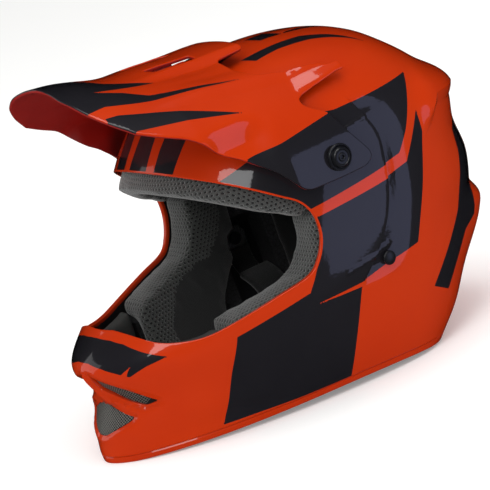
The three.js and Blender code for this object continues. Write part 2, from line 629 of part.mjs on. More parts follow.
const STRAP_WIDTH = 20;
const STRAP_THICK = 2.2;
const ANCHOR_THICK = 1.2;
const plateIn = innerWall - 6.6;
const anchorOutline = [[12, 66], [32, 66], [32, 88], [27, 94], [17, 94], [12, 88]];
const anchor = sidePrism(anchorOutline, plateIn, plateIn + ANCHOR_THICK)
  .subtract(turned(hole(plateIn - 1, plateIn + 3, SHELL_HOLES.rivet), RIVET.y, RIVET.z));
addPiece('strap_anchor_left', anchor, 'steel');
addPiece('strap_anchor_right', mirrored(anchor), 'steel');

// A flat band whose centre line is an [X, Z] curve, standing across Y.
function band(points, thickness, width, steps, lift = 0) {
  const curve = new THREE.CatmullRomCurve3(points.map(([x, z]) => new THREE.Vector3(x, z, 0)));
  const line = curve.getSpacedPoints(steps).map((p) => [p.x, p.y]);
  const outline = [...moved(line, lift + thickness / 2), ...moved(line, lift - thickness / 2).reverse()];
  return frontPrism(outline, RIVET.y - width / 2, RIVET.y + width / 2);
}

// Round bar across Y at (x, z).
function crossBar(x, z, radius, width) {
  const geometry = new THREE.CylinderGeometry(radius, radius, width, 14);
  geometry.translate(x, RIVET.y, z);
  return toSolid(geometry);
}

const EYE = { x: 34, z: 13.4, bore: 3.4, outer: 5.2 }; // the sewn loop that holds the D-rings
const strapX = plateIn - GAP - STRAP_THICK / 2;
const leftPath = [[strapX, 78], [strapX - 0.5, 68], [86, 58], [68, 50], [57, 37], [46, 23], [38, 15.5]];
const rightPath = [[-strapX, 78], [0.5 - strapX, 68], [-86, 58], [-68, 50], [-57, 37], [-42, 20],
  [-22, 10], [0, 6.6], [17, 6.6], [23.5, 9.4], [24.5, 14.5], [19, 18.2], [6, 17.6], [-8, 14], [-20, 14.6]];
const strapLeft = band(leftPath, STRAP_THICK, STRAP_WIDTH, 16)
  .add(crossBar(EYE.x, EYE.z, EYE.outer, STRAP_WIDTH))
  .subtract(crossBar(EYE.x, EYE.z, EYE.bore, STRAP_WIDTH + 2));
addPiece('strap_buckle_side', strapLeft, 'webbing');
addPiece('strap_free_side', band(rightPath, STRAP_THICK, STRAP_WIDTH, 40), 'webbing');
const SLEEVE = { path: [[84, 56.8], [68, 50], [57, 37], [48, 25.5]], thick: 5, width: 30, below: 4 };
const sleeve = band(SLEEVE.path, SLEEVE.thick, SLEEVE.width, 8, -SLEEVE.below);
addPiece('strap_sleeve_left', sleeve, 'fabric');
addPiece('strap_sleeve_right', mirrored(sleeve), 'fabric');

const RING = { length: 25.5, halfWidth: 13, wire: 2.6, bar: 2.8, thick: 2.2, corner: 8 };
function ringOutline(barX, tipX, half) {
  const outline = [[barX, RIVET.y - half]];
  for (let degrees = -90; degrees <= 90; degrees += 22.5) {
    const a = THREE.MathUtils.degToRad(degrees);
    outline.push([tipX + RING.corner * (1 - Math.cos(a)), RIVET.y + half * Math.sin(a)]);
  }
  outline.push([barX, RIVET.y + half]);
  return outline.reverse();
}
function dRing(z) {
  const barX = EYE.x + 1.4;
  const tipX = barX - RING.length;
  const [low, high] = [z - RING.thick / 2, z + RING.thick / 2];
  const opening = ringOutline(barX - RING.bar, tipX + RING.wire, RING.halfWidth - RING.wire);
  return topPrism(ringOutline(barX, tipX, RING.halfWidth), low, high)
    .subtract(topPrism(opening, low - 1, high + 1));
}
addPiece('d_ring_lower', dRing(EYE.z - 1.4), 'steel');
addPiece('d_ring_upper', dRing(EYE.z + 1.4), 'steel');

// Press stud that holds the strap's free end, turned about a vertical line.
function turnedUp(profile, x) {
  const geometry = new THREE.LatheGeometry(profile.map(([z, r]) => new THREE.Vector2(r, z)), 14);
  geometry.rotateX(Math.PI / 2);
  geometry.translate(x, RIVET.y, 0);
  return toSolid(geometry);
}
addPiece('strap_stud', turnedUp([[9.8, 0], [9.8, 4.5], [10.8, 4.5], [10.8, 3], [12.1, 3], [12.1, 0]], -9),
  'plastic');
addPiece('strap_stud_cap', turnedUp([[15.8, 0], [15.8, 5.5], [17, 5], [17.6, 0]], -11), 'plastic');

export default helmet;
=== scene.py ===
import math

import bmesh
import bpy
import numpy as np
from mathutils import Matrix, Vector


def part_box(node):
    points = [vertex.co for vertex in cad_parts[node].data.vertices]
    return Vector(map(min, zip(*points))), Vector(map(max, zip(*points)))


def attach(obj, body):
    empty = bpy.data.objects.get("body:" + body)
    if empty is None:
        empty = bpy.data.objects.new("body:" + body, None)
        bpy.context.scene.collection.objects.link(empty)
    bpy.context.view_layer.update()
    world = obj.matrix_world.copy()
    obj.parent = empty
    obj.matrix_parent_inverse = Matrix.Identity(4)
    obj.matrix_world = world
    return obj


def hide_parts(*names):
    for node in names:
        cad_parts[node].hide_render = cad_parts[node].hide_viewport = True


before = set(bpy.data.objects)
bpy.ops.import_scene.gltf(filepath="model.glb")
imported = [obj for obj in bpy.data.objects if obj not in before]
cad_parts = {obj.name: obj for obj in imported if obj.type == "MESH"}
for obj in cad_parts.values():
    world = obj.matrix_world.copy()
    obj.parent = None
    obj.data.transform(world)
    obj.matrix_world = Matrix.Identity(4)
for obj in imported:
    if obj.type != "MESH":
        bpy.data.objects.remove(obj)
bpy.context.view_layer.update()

MM = 0.001
CENTRE_Y = 9.15  # the drawing's Y = 0 lies this far behind the frame's origin, in mm

# ------------------------------------------------------------------ shapes, in mm
# Horizontal sections of the shell: height, front, rear, half width, middle, exponents.
SECTIONS = np.array([
    [0, -183, 88, 90, 24, 1.75, 2.6], [22, -184, 114.5, 96, 22, 1.85, 2.5],
    [46, -174.5, 131, 101, 18, 1.95, 2.4], [70, -181.5, 147.5, 105, 12, 1.95, 2.3],
    [95, -158, 159, 109, 8, 1.95, 2.2], [120, -139, 163, 112, 8, 2, 2.2],
    [146, -121, 157.5, 113, 12, 2.05, 2.2], [172, -104, 159, 111, 18, 2.05, 2.2],
    [196, -87, 139, 104, 24, 2.05, 2.2], [216, -68, 116.5, 92, 28, 2.05, 2.2],
    [231, -42, 95.5, 72, 32, 2.05, 2.15], [240, -8, 70.5, 44, 32, 2.05, 2.1],
    [244, 30, 30, 0, 30, 2, 2]], float)
SHELL_WALL = 4.0
PORT_EDGE = [
    (-94, 187), (-87, 183), (-69, 172), (-46, 156), (-35, 148), (-29, 138), (-27, 128),
    (-28, 117), (-33, 105), (-42, 96), (-66, 90), (-100, 82), (-118, 79), (-133, 80),
    (-146, 84), (-157, 94)]
RIM_ARCH = [
    (-172, 0.0), (-148, 1.3), (-110, 2.8), (-64, 4.5), (-24, 5.4), (9, 4.9), (37, 3.4), (60, 1), (70, 0.0)]
UPPER_VENT = [(5, 67), (45, 41), (38, 39.5), (5, 53)]
LOWER_VENT = [(-30, 33), (-5, 22), (5, 22), (30, 33), (0, 44)]

# Raised features, side view (Y, Z).
PANEL_REAR = [(-6, 68), (-1, 77), (8, 87), (19, 100), (28, 115), (34, 132), (37, 149), (39, 171),
              (34, 187), (26, 204)]
GUIDES = [[(14, 183), (34, 186.5)], [(-14, 88), (10, 91), (26, 94.5)]]
CHIN_CREASE = [(-160, 40), (-130, 34), (-100, 30), (-60, 30)]
FIN_EDGE = [(78, 157), (99, 171), (106, 176), (143, 172), (170, 165)]

# Painted areas: side view (Y, Z).
BLACK_UPPER = [(-81, 172), (-53, 184), (-10, 202), (14, 198), (90, 199.5), (79, 185), (65, 165),
               (54, 152), (33, 149), (-29, 141), (-50, 139), (-90, 160)]
BLACK_SIDE = [(-45, 132), (-27, 134), (35, 140), (58, 144), (81, 174), (81, 158), (69, 126), (52, 85),
              (22, 81), (-3, 76.4), (-39, 74.3), (-39, 73.9), (-4, 73), (-23, 11), (-118, 10),
              (-100, 72), (-44, 84), (-39, 92), (-36, 98), (-31, 107), (-45, 112)]
BLACK_REAR = [(134, 149), (143, 132), (140, 115), (137, 99), (129, 75), (112, 70), (76, 38), (60, 47),
              (85, 70), (104, 89), (116, 112), (122, 128), (124, 144)]
# Front view (|X|, Z).
BLACK_CHIN = [(-60, 89), (4, 89), (19, 88), (32, 85.4), (43, 81), (53, 76.5), (60.5, 73), (50, 69.5),
              (39.5, 64), (38, 65), (41.5, 71.4), (35, 66.7), (31, 68.7), (21, 72.3), (7, 75.5), (-60, 76)]
BLACK_BROW_CENTRE = [(-60, 170), (-60, 215), (10, 215), (12, 184), (13, 170)]
BLACK_BROW_SIDE = [(21, 180), (20.5, 200), (22, 215), (43, 215), (41, 200), (39, 178)]
# Top view (|X|, Y).
BLACK_CROWN = [
    [(29, -3), (30, 4), (32, 29), (34, 46), (44, 59), (57, 74), (63, 81), (59, 72), (48, 46), (43, 21),
     (43, 1)],
    [(-40, -26), (12, -26), (11, 8), (-40, 8)],
    [(-40, 28), (11, 28), (13, 46), (-40, 46)],
    [(9, 50), (13, 48), (15, 79), (4, 86), (6, 66)],
]

# The peak's cross-sections about the line X = 0, Z = 150: Y, half width, height, exponent.
PEAK_AXIS_Z = 150.0
PEAK_WALL = 2.6
PEAK_SECTIONS = np.array([
    [-165, 106, 118, 2], [-150, 110, 119, 2], [-131, 114, 117, 2], [-90, 119, 112, 2.05],
    [-50, 119, 106, 2.15], [0, 119, 100, 2.3], [50, 119, 99, 2.3]], float)
PEAK_SIDE = [
    (-129, 232), (-115, 225), (-99, 218), (-91, 212), (-79, 199), (-66, 191), (-49, 176), (-37, 160),
    (-31, 156), (-4, 155.5), (18, 156), (25, 160), (25, 165), (15, 181), (6, 200), (-8, 209), (-8, 214),
    (7, 218), (28, 222)]
PEAK_FRONT = [(0, -150), (35, -153), (56, -148), (68, -141), (75, -135), (82, -128)]
PEAK_REAR = [(92, 28), (87, 18), (79, -6), (74, -24), (61, -29), (36, -26), (34, -1), (0, 0)]
PEAK_VENT = [(13, -74), (25, -70), (27, -36), (13, -34)]
# Ridge on the peak's flank, as |X| at each Y: its lower crease and how wide its face is.
RIDGE_Y = [-110, -87, -58, -28, 3, 26]
RIDGE_LOW = [72, 77, 81, 85, 88, 92]
RIDGE_WIDE = [1, 5, 8, 8.5, 7, 3.5]
PEAK_BLACK_TOP = [(-60, -170), (62, -170), (58, -145), (57, -132), (65, -99), (74, -35), (58, -97),
                  (46, -110), (38, -127), (40, -81), (20, -112), (0, -121), (-60, -121)]
PEAK_BLACK_FLANK = [(66, -139), (84, -140), (81, -126), (94, -51), (75, -104), (67, -129)]
PEAK_BLACK_EAR = [(-64, 189.6), (-30, 194), (7, 199), (20, 201), (60, 160), (20, 140), (-64, 140)]

PIVOT = (-2.0, 170.0)
RIVET = (22.0, 85.0)
TILTS = [math.radians(a) for a in (-8, -4, 0, 4)]


# ------------------------------------------------------------------ small maths
def smoothstep(v, lo, hi):
    t = np.clip((v - lo) / (hi - lo), 0, 1)
    return t * t * (3 - 2 * t)


def from_segment(a, b, start, end):
    """Distance in mm of points (a, b) from one segment."""
    (a0, b0), (a1, b1) = start, end
    da, db = a1 - a0, b1 - b0
    t = np.clip(((a - a0) * da + (b - b0) * db) / (da * da + db * db + 1e-12), 0, 1)
    return np.hypot(a - a0 - t * da, b - b0 - t * db)


def inside_distance(a, b, outline):
    """Distance in mm of points (a, b) from a closed outline, positive inside it."""
    nearest = np.full(np.shape(a), 1e9)
    inside = np.zeros(np.shape(a), bool)
    for (a0, b0), (a1, b1) in zip(outline, outline[1:] + outline[:1]):
        da, db = a1 - a0, b1 - b0
        nearest = np.minimum(nearest, from_segment(a, b, (a0, b0), (a1, b1)))
        if db:
            crosses = (b0 > b) != (b1 > b)
            inside ^= crosses & (a < da * (b - b0) / db + a0)
    return np.where(inside, nearest, -nearest)


def beside(a, b, path):
    """Signed distance in mm from an open path: positive on its left, walking first to last."""
    best = np.full(np.shape(a), 1e9)
    signed = np.zeros(np.shape(a))
    for (a0, b0), (a1, b1) in zip(path, path[1:]):
        distance = from_segment(a, b, (a0, b0), (a1, b1))
        side = np.sign((a1 - a0) * (b - b0) - (b1 - b0) * (a - a0))
        signed = np.where(distance < best, side * distance, signed)
        best = np.minimum(best, distance)
    return signed


def splined(path, steps=6):
    """The path as a smooth curve through its points."""
    p = np.array([path[0]] + list(path) + [path[-1]], float)
    out = []
    for i in range(1, len(p) - 2):
        for f in np.arange(steps) / steps:
            a, b, c, d = p[i - 1:i + 3]
            out.append(tuple(0.5 * (2 * b + (c - a) * f + (2 * a - 5 * b + 4 * c - d) * f * f
                                    + (3 * b - a - 3 * c + d) * f ** 3)))
    return out + [tuple(p[-1])]


def rounded(outline, radius, closed=True):
    """The outline with each corner replaced by a short curve that starts `radius` before it."""
    pts = [np.array(q, float) for q in outline]
    out = []
    for i, corner in enumerate(pts):
        if not closed and i in (0, len(pts) - 1):
            out.append(tuple(corner))
            continue
        before, after = pts[i - 1] - corner, pts[(i + 1) % len(pts)] - corner
        a = corner + before * min(radius / np.linalg.norm(before), 0.45)
        b = corner + after * min(radius / np.linalg.norm(after), 0.45)
        out += [tuple((1 - t) ** 2 * a + 2 * t * (1 - t) * corner + t * t * b) for t in (0, 0.33, 0.67, 1)]
    return out


# ------------------------------------------------------------------ the two surfaces
def section_at(t):
    last = len(SECTIONS) - 1
    near = SECTIONS[last - 1]
    beyond = np.array([near[0], near[2], near[1], -near[3], near[4], near[5], near[6]])
    rows = np.vstack([2 * SECTIONS[0] - SECTIONS[1], SECTIONS, beyond])
    i = np.clip(np.floor(t).astype(int), 0, last - 1)
    f = (t - i)[:, None]
    a, b, c, d = rows[i], rows[i + 1], rows[i + 2], rows[i + 3]
    return (0.5 * (2 * b + (c - a) * f + (2 * a - 5 * b + 4 * c - d) * f * f
                   + (3 * b - a - 3 * c + d) * f ** 3)).T


def spoiler_stand_off(x, z):
    rise = smoothstep(z, 22, 79) * (1 - smoothstep(z, 80, 98))
    return 13 * rise * (1 - smoothstep(np.abs(x), 58, 88))


def shell_surface(uv):
    """Points of the shell: u is the angle round a section, v counts the sections."""
    z, front, rear, half, mid, nf, nr = section_at(np.clip(uv[:, 1], 0, len(SECTIONS) - 1))
    c, s = np.cos(uv[:, 0]), np.sin(uv[:, 0])
    n = np.where(s > 0, nr, nf)
    reach = np.where(s > 0, rear - mid, mid - front)
    x = half * np.sign(c) * np.abs(c) ** (2 / n)
    y = mid + reach * np.sign(s) * np.abs(s) ** (2 / n)
    return np.stack([x, y + np.maximum(s, 0) * spoiler_stand_off(x, z), z], axis=1)


def swollen_sections(depth):
    rows = SECTIONS.copy()
    for i, (z, front, rear, half, mid, nf, nr) in enumerate(SECTIONS):
        if half == 0:
            rows[i] = [z - depth, mid, mid, 0, mid, nf, nr]
            continue
        below, above = SECTIONS[max(i - 1, 0)], SECTIONS[min(i + 1, len(SECTIONS) - 1)]
        slope = (below[3] - above[3]) / (above[0] - below[0]) if z > 130 else 0
        sideways = depth / math.hypot(1, slope)
        rows[i] = [z - sideways * max(slope, 0), front + sideways, rear - sideways, half - sideways,
                   mid, nf, nr]
    return rows


SWOLLEN = swollen_sections(-3.2)


def inside_swollen(x, y, z):
    row = [np.interp(z, SWOLLEN[:, 0], SWOLLEN[:, k]) for k in range(7)]
    _, front, rear, half, mid, nf, nr = row
    n = np.where(y > mid, nr, nf)
    reach = np.where(y > mid, rear - mid, mid - front)
    ratio = (np.abs(x) / np.maximum(half, 1e-6)) ** n + (np.abs(y - mid) / np.maximum(reach, 1e-6)) ** n
    return (ratio < 1) & (z < SWOLLEN[-1, 0])


def clear_radius(theta, y):
    """Smallest radius about the peak's line that clears the shell at every tilt."""
    low, high = np.full(theta.shape, 40.0), np.full(theta.shape, 180.0)
    for _ in range(16):
        r = (low + high) / 2
        dy, dz = y - PIVOT[0], PEAK_AXIS_Z + r * np.cos(theta) - PIVOT[1]
        hit = np.zeros(theta.shape, bool)
        for a in TILTS:
            hit |= inside_swollen(r * np.sin(theta), PIVOT[0] + dy * math.cos(a) - dz * math.sin(a),
                                  PIVOT[1] + dy * math.sin(a) + dz * math.cos(a))
        low, high = np.where(hit, r, low), np.where(hit, high, r)
    return high


def peak_surface(uv):
    """Points of the peak's outer face: u is the angle about its line, v is Y."""
    theta, y = uv[:, 0], uv[:, 1]
    half, height, n = [np.interp(y, PEAK_SECTIONS[:, 0], PEAK_SECTIONS[:, k]) for k in (1, 2, 3)]
    r = ((np.abs(np.sin(theta)) / half) ** n + (np.abs(np.cos(theta)) / height) ** n) ** (-1 / n)
    degrees = np.degrees(np.abs(theta))
    tuck = 9 * smoothstep(degrees, 54, 64) * smoothstep(y, -96, -78) * (1 - smoothstep(y, -60, -36))
    scoop = 5.5 * (1 - smoothstep(np.abs(100 * np.sin(theta)), 26, 38)) * smoothstep(y, -110, -40)
    dip = 6 * (1 - smoothstep(degrees, 10, 45)) * smoothstep(y, -140, -80)
    dip *= 1 - 0.6 * smoothstep(y, -50, 0)
    r = np.maximum(r - PEAK_WALL - tuck + scoop - dip, clear_radius(theta, y)) + PEAK_WALL
    return np.stack([r * np.sin(theta), y, PEAK_AXIS_Z + r * np.cos(theta)], axis=1)


# ------------------------------------------------------------------ sheets that can be cut
class Sheet:
    """Half of a surface (X >= 0) as triangles over its parameters, cut along feature lines."""

    def __init__(self, surface, us, vs):
        self.surface = surface
        self.step = np.array([np.median(np.diff(us)), np.median(np.diff(vs))])
        nu, nv = len(us), len(vs)
        uu, vv = np.meshgrid(us, vs, indexing="ij")
        self.uv = np.stack([uu.ravel(), vv.ravel()], axis=1)
        i, j = np.meshgrid(np.arange(nu - 1), np.arange(nv - 1), indexing="ij")
        a = (i * nv + j).ravel()
        b, c, d = a + nv, a + nv + 1, a + 1
        flip = ((i + j) % 2 == 0).ravel()[:, None]
        one = np.where(flip, np.stack([a, b, c], 1), np.stack([a, b, d], 1))
        two = np.where(flip, np.stack([a, c, d], 1), np.stack([b, c, d], 1))
        self.tris = np.vstack([one, two])
        edge_u = (self.uv[:, 0] == us[0]) | (self.uv[:, 0] == us[-1])
        edge_v = (self.uv[:, 1] == vs[0]) | (self.uv[:, 1] == vs[-1])
        self.free = np.stack([~edge_u, ~edge_v], axis=1).astype(float)
        du, dv = np.gradient(us), np.gradient(vs)
        self.cell = np.stack([np.repeat(du, nv), np.tile(dv, nu)], axis=1)

    def points(self, uv=None):
        return self.surface(self.uv if uv is None else uv)

    def normals(self, uv=None, eps=1e-4):
        uv = self.uv if uv is None else uv
        du, dv = np.array([eps, 0]), np.array([0, eps])
        a = self.surface(uv + du) - self.surface(uv - du)
        b = self.surface(uv + dv) - self.surface(uv - dv)
        n = np.cross(a, b)
        size = np.linalg.norm(n, axis=1, keepdims=True)
        flat = size[:, 0] < 1e-10
        n = n / np.maximum(size, 1e-12)
        n[flat] = (0, 0, 1)
        return n

    def cut(self, where, keep_positive=False, snap=0.3):
        """Splits the triangles along where(points) = 0, and drops the negative side if asked."""
        value = where(self.points())
        near = np.zeros((len(self.uv), 2))
        for k in (0, 1):
            shift = np.zeros((len(self.uv), 2))
            shift[:, k] = 0.1 * self.cell[:, k]
            ahead, behind = where(self.points(self.uv + shift)), where(self.points(self.uv - shift))
            near[:, k] = (ahead - behind) / 0.2
        near *= self.free
        size = (near ** 2).sum(axis=1)
        move = -value[:, None] * near / np.maximum(size, 1e-9)[:, None]
        snapped = (np.hypot(move[:, 0], move[:, 1]) < snap) & (size > 1e-6)
        self.uv = self.uv + np.where(snapped[:, None], move * self.cell, 0)
        self.free[snapped] = 0
        value = where(self.points())
        value[snapped | (np.abs(value) < 1e-7)] = 0
        sign = np.sign(value)
        per = sign[self.tris]
        crossed = (per.max(axis=1) > 0) & (per.min(axis=1) < 0)
        made, uv, cell = {}, list(self.uv), list(self.cell)

        def between(i, j):
            key = (min(i, j), max(i, j))
            if key not in made:
                t = value[i] / (value[i] - value[j])
                made[key] = len(uv)
                uv.append(uv[i] + (uv[j] - uv[i]) * t)
                cell.append(cell[i])
            return made[key]

        fresh = []
        for tri in self.tris[crossed]:
            s = sign[tri]
            if (s == 0).any():
                k = int(np.argmin(np.abs(s)))
                a, b, c = tri[k], tri[(k + 1) % 3], tri[(k + 2) % 3]
                m = between(b, c)
                fresh += [(a, b, m), (a, m, c)]
                continue
            k = int(np.argmax(s == -np.sign(s.sum())))
            a, b, c = tri[k], tri[(k + 1) % 3], tri[(k + 2) % 3]
            m, n = between(a, b), between(c, a)
            fresh += [(a, m, n), (m, b, c), (m, c, n)]
        extra = len(uv) - len(self.uv)
        self.uv, self.cell = np.array(uv), np.array(cell)
        self.free = np.vstack([self.free, np.zeros((extra, 2))])
        self.tris = np.vstack([self.tris[~crossed], np.array(fresh, int).reshape(-1, 3)])
        if keep_positive:
            value = np.concatenate([value, np.zeros(extra)])
            self.tris = self.tris[value[self.tris].sum(axis=1) > 0]

    def refine(self, where, reach):
        """Halves the edges of the triangles that lie within reach of where(points) = 0."""
        near = np.abs(where(self.points())) < reach
        count = len(self.uv)
        ends = np.stack([self.tris, np.roll(self.tris, -1, axis=1)], axis=2)
        keys = ends.min(axis=2) * count + ends.max(axis=2)
        chosen = np.unique(keys[near[self.tris].all(axis=1)])
        a, b = chosen // count, chosen % count
        self.uv = np.vstack([self.uv, (self.uv[a] + self.uv[b]) / 2])
        self.free = np.vstack([self.free, self.free[a] * self.free[b]])
        self.cell[np.unique(np.concatenate([a, b]))] *= 0.5
        self.cell = np.vstack([self.cell, (self.cell[a] + self.cell[b]) / 2])
        place = np.minimum(np.searchsorted(chosen, keys), len(chosen) - 1)
        marked = chosen[place] == keys
        middle = count + place
        total = marked.sum(axis=1)
        out = [self.tris[total == 0]]
        t, m = self.tris[total == 3], middle[total == 3]
        out += [m, np.stack([t[:, 0], m[:, 0], m[:, 2]], 1), np.stack([m[:, 0], t[:, 1], m[:, 1]], 1),
                np.stack([m[:, 2], m[:, 1], t[:, 2]], 1)]
        for k in range(3):
            one = (total == 1) & marked[:, k]
            t, m = np.roll(self.tris[one], -k, axis=1), middle[one, k]
            out += [np.stack([t[:, 0], m, t[:, 2]], 1), np.stack([m, t[:, 1], t[:, 2]], 1)]
            two = (total == 2) & ~marked[:, k]
            t, m = np.roll(self.tris[two], -k, axis=1), np.roll(middle[two], -k, axis=1)
            out += [np.stack([t[:, 2], m[:, 2], m[:, 1]], 1), np.stack([t[:, 1], m[:, 1], m[:, 2]], 1),
                    np.stack([t[:, 0], t[:, 1], m[:, 2]], 1)]
        self.tris = np.vstack(out)

    def finish(self, relief):
        """Points with their relief and outward normals, after unused points are dropped."""
        used = np.unique(self.tris)
        renumber = np.full(len(self.uv), -1)
        renumber[used] = np.arange(len(used))
        self.uv, self.tris = self.uv[used], renumber[self.tris]
        base, normals = self.points(), self.normals()
        base[np.abs(base[:, 0]) < 1e-3, 0] = 0
        return base, base + normals * relief(base)[:, None], normals


def edge_loops(points, tris):
    """Open edges of the triangles as chains of point numbers, mesh on the left."""
    edges = np.vstack([tris[:, [0, 1]], tris[:, [1, 2]], tris[:, [2, 0]]])
    both = {(int(a), int(b)) for a, b in edges}
    follow = {a: b for a, b in both if (b, a) not in both}
    middle = np.abs(points[:, 0]) < 1e-6
    follow = {a: b for a, b in follow.items() if not (middle[a] and middle[b])}
    starts = sorted(set(follow) - set(follow.values())) + sorted(follow)
    chains, seen = [], set()
    for start in starts:
        if start in seen:
            continue
        chain = [start]
        seen.add(start)
        while chain[-1] in follow and follow[chain[-1]] not in seen:
            chain.append(follow[chain[-1]])
            seen.add(chain[-1])
        closed = follow.get(chain[-1]) == start
        if len(chain) > 2:
            chains.append((chain, closed))
    return chains


def rolled_edge(points, normals, chain, closed, radius, depth, lip):
    """Rings of a rounded edge: over the corner, down the wall and back under by a lip."""
    p, n = points[chain], normals[chain]
    before = np.roll(p, 1, axis=0) if closed else np.vstack([p[:1], p[:-1]])
    after = np.roll(p, -1, axis=0) if closed else np.vstack([p[1:], p[-1:]])
    along = after - before
    on_middle = np.abs(p[:, 0]) < 1e-6
    along[on_middle, 1:] = 0
    out = np.cross(along, n)
    for _ in range(3):
        size = np.maximum(np.linalg.norm(out, axis=1, keepdims=True), 1e-9)
        out = out / size
        if closed:
            out = (np.roll(out, 1, axis=0) + 2 * out + np.roll(out, -1, axis=0)) / 4
        elif len(out) > 2:
            out[1:-1] = (out[:-2] + 2 * out[1:-1] + out[2:]) / 4
    out[on_middle, 0] = 0
    out /= np.maximum(np.linalg.norm(out, axis=1, keepdims=True), 1e-9)
    rings = []
    for degrees in (22.5, 45, 67.5, 90):
        a = math.radians(degrees)
        rings.append(p + out * radius * math.sin(a) - n * radius * (1 - math.cos(a)))
    low = depth - radius
    for degrees in (0, 45, 90):
        a = math.radians(degrees)
        rings.append(p + out * radius * math.cos(a) - n * (low + radius * math.sin(a)))
    rings.append(p - out * lip - n * depth)
    return rings


def add_object(name, points, faces, materials=(), face_material=None, smooth_angle=32, mirror=False):
    """A mesh object from points in the drawing's mm. Mirrored halves are welded at X = 0."""
    mesh = bpy.data.meshes.new(name)
    p = (np.asarray(points, float) + (0, CENTRE_Y, 0)) * MM
    mesh.from_pydata([tuple(q) for q in p], [], [tuple(int(i) for i in f) for f in faces])
    for material in materials:
        mesh.materials.append(material)
    if face_material is not None:
        mesh.polygons.foreach_set("material_index", np.asarray(face_material, np.int32))
    obj = bpy.data.objects.new(name, mesh)
    bpy.context.scene.collection.objects.link(obj)
    bm = bmesh.new()
    bm.from_mesh(mesh)
    if mirror:
        twin = bmesh.ops.duplicate(bm, geom=bm.verts[:] + bm.edges[:] + bm.faces[:])["geom"]
        verts = [g for g in twin if isinstance(g, bmesh.types.BMVert)]
        for v in verts:
            v.co.x = -v.co.x
        bmesh.ops.reverse_faces(bm, faces=[g for g in twin if isinstance(g, bmesh.types.BMFace)])
    bmesh.ops.remove_doubles(bm, verts=bm.verts[:], dist=2e-6)
    bmesh.ops.dissolve_degenerate(bm, edges=bm.edges[:], dist=1e-6)
    bm.to_mesh(mesh)
    bm.free()
    mesh.polygons.foreach_set("use_smooth", [True] * len(mesh.polygons))
    mesh.set_sharp_from_angle(angle=math.radians(smooth_angle))
    mesh.update()
    return obj


def installed(obj, body, node=None):
    """Rides the piece on its body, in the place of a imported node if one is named."""
    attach(obj, body)
    if node:
        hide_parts(node)


def softened(obj, width):
    bevel = obj.modifiers.new("soft edges", "BEVEL")
    bevel.width, bevel.segments, bevel.limit_method = width * MM, 2, "ANGLE"


def even_steps(values_at, lo, hi, spacing, dense=400):
    """Parameters from lo to hi whose points lie about `spacing` mm apart."""
    t = np.linspace(lo, hi, dense)
    p = values_at(t)
    length = np.concatenate([[0], np.cumsum(np.linalg.norm(np.diff(p, axis=0), axis=1))])
    count = max(int(round(length[-1] / spacing)), 2)
    return np.interp(np.linspace(0, length[-1], count + 1), length, t)


def build_panel(name, sheet, relief, radius, depth, lip, materials, pick, inner=None):
    """Turns a cut sheet into an object with rolled edges and, if asked, an inner face."""
    base, points, normals = sheet.finish(relief)
    centre = base[sheet.tris].mean(axis=1)
    tris = sheet.tris
    all_points, faces, kinds = [points], [tris], [pick(centre)]
    start = len(points)
    for chain, closed in edge_loops(points, tris):
        rings = rolled_edge(points, normals, chain, closed, radius, depth, lip)
        rows = [np.array(chain)]
        for ring in rings:
            all_points.append(ring)
            rows.append(np.arange(start, start + len(ring)))
            start += len(ring)
        shade = pick(base[chain])
        for ring_no, (a, b) in enumerate(zip(rows, rows[1:])):
            nxt = np.roll(np.arange(len(a)), -1) if closed else np.arange(1, len(a))
            cur = np.arange(len(nxt))
            quads = np.stack([a[cur], b[cur], b[nxt], a[nxt]], axis=1)
            faces.append(np.vstack([quads[:, [0, 1, 2]], quads[:, [0, 2, 3]]]))
            kind = shade[cur] if ring_no < 4 or inner is None else np.full(len(cur), inner)
            kinds.append(np.concatenate([kind, kind]))
    if inner is not None:
        all_points.append(points - normals * depth)
        faces.append(tris[:, ::-1] + start)
        kinds.append(np.full(len(tris), inner))
    return add_object(name, np.vstack(all_points), np.vstack(faces), materials,
                      np.concatenate(kinds), mirror=True)


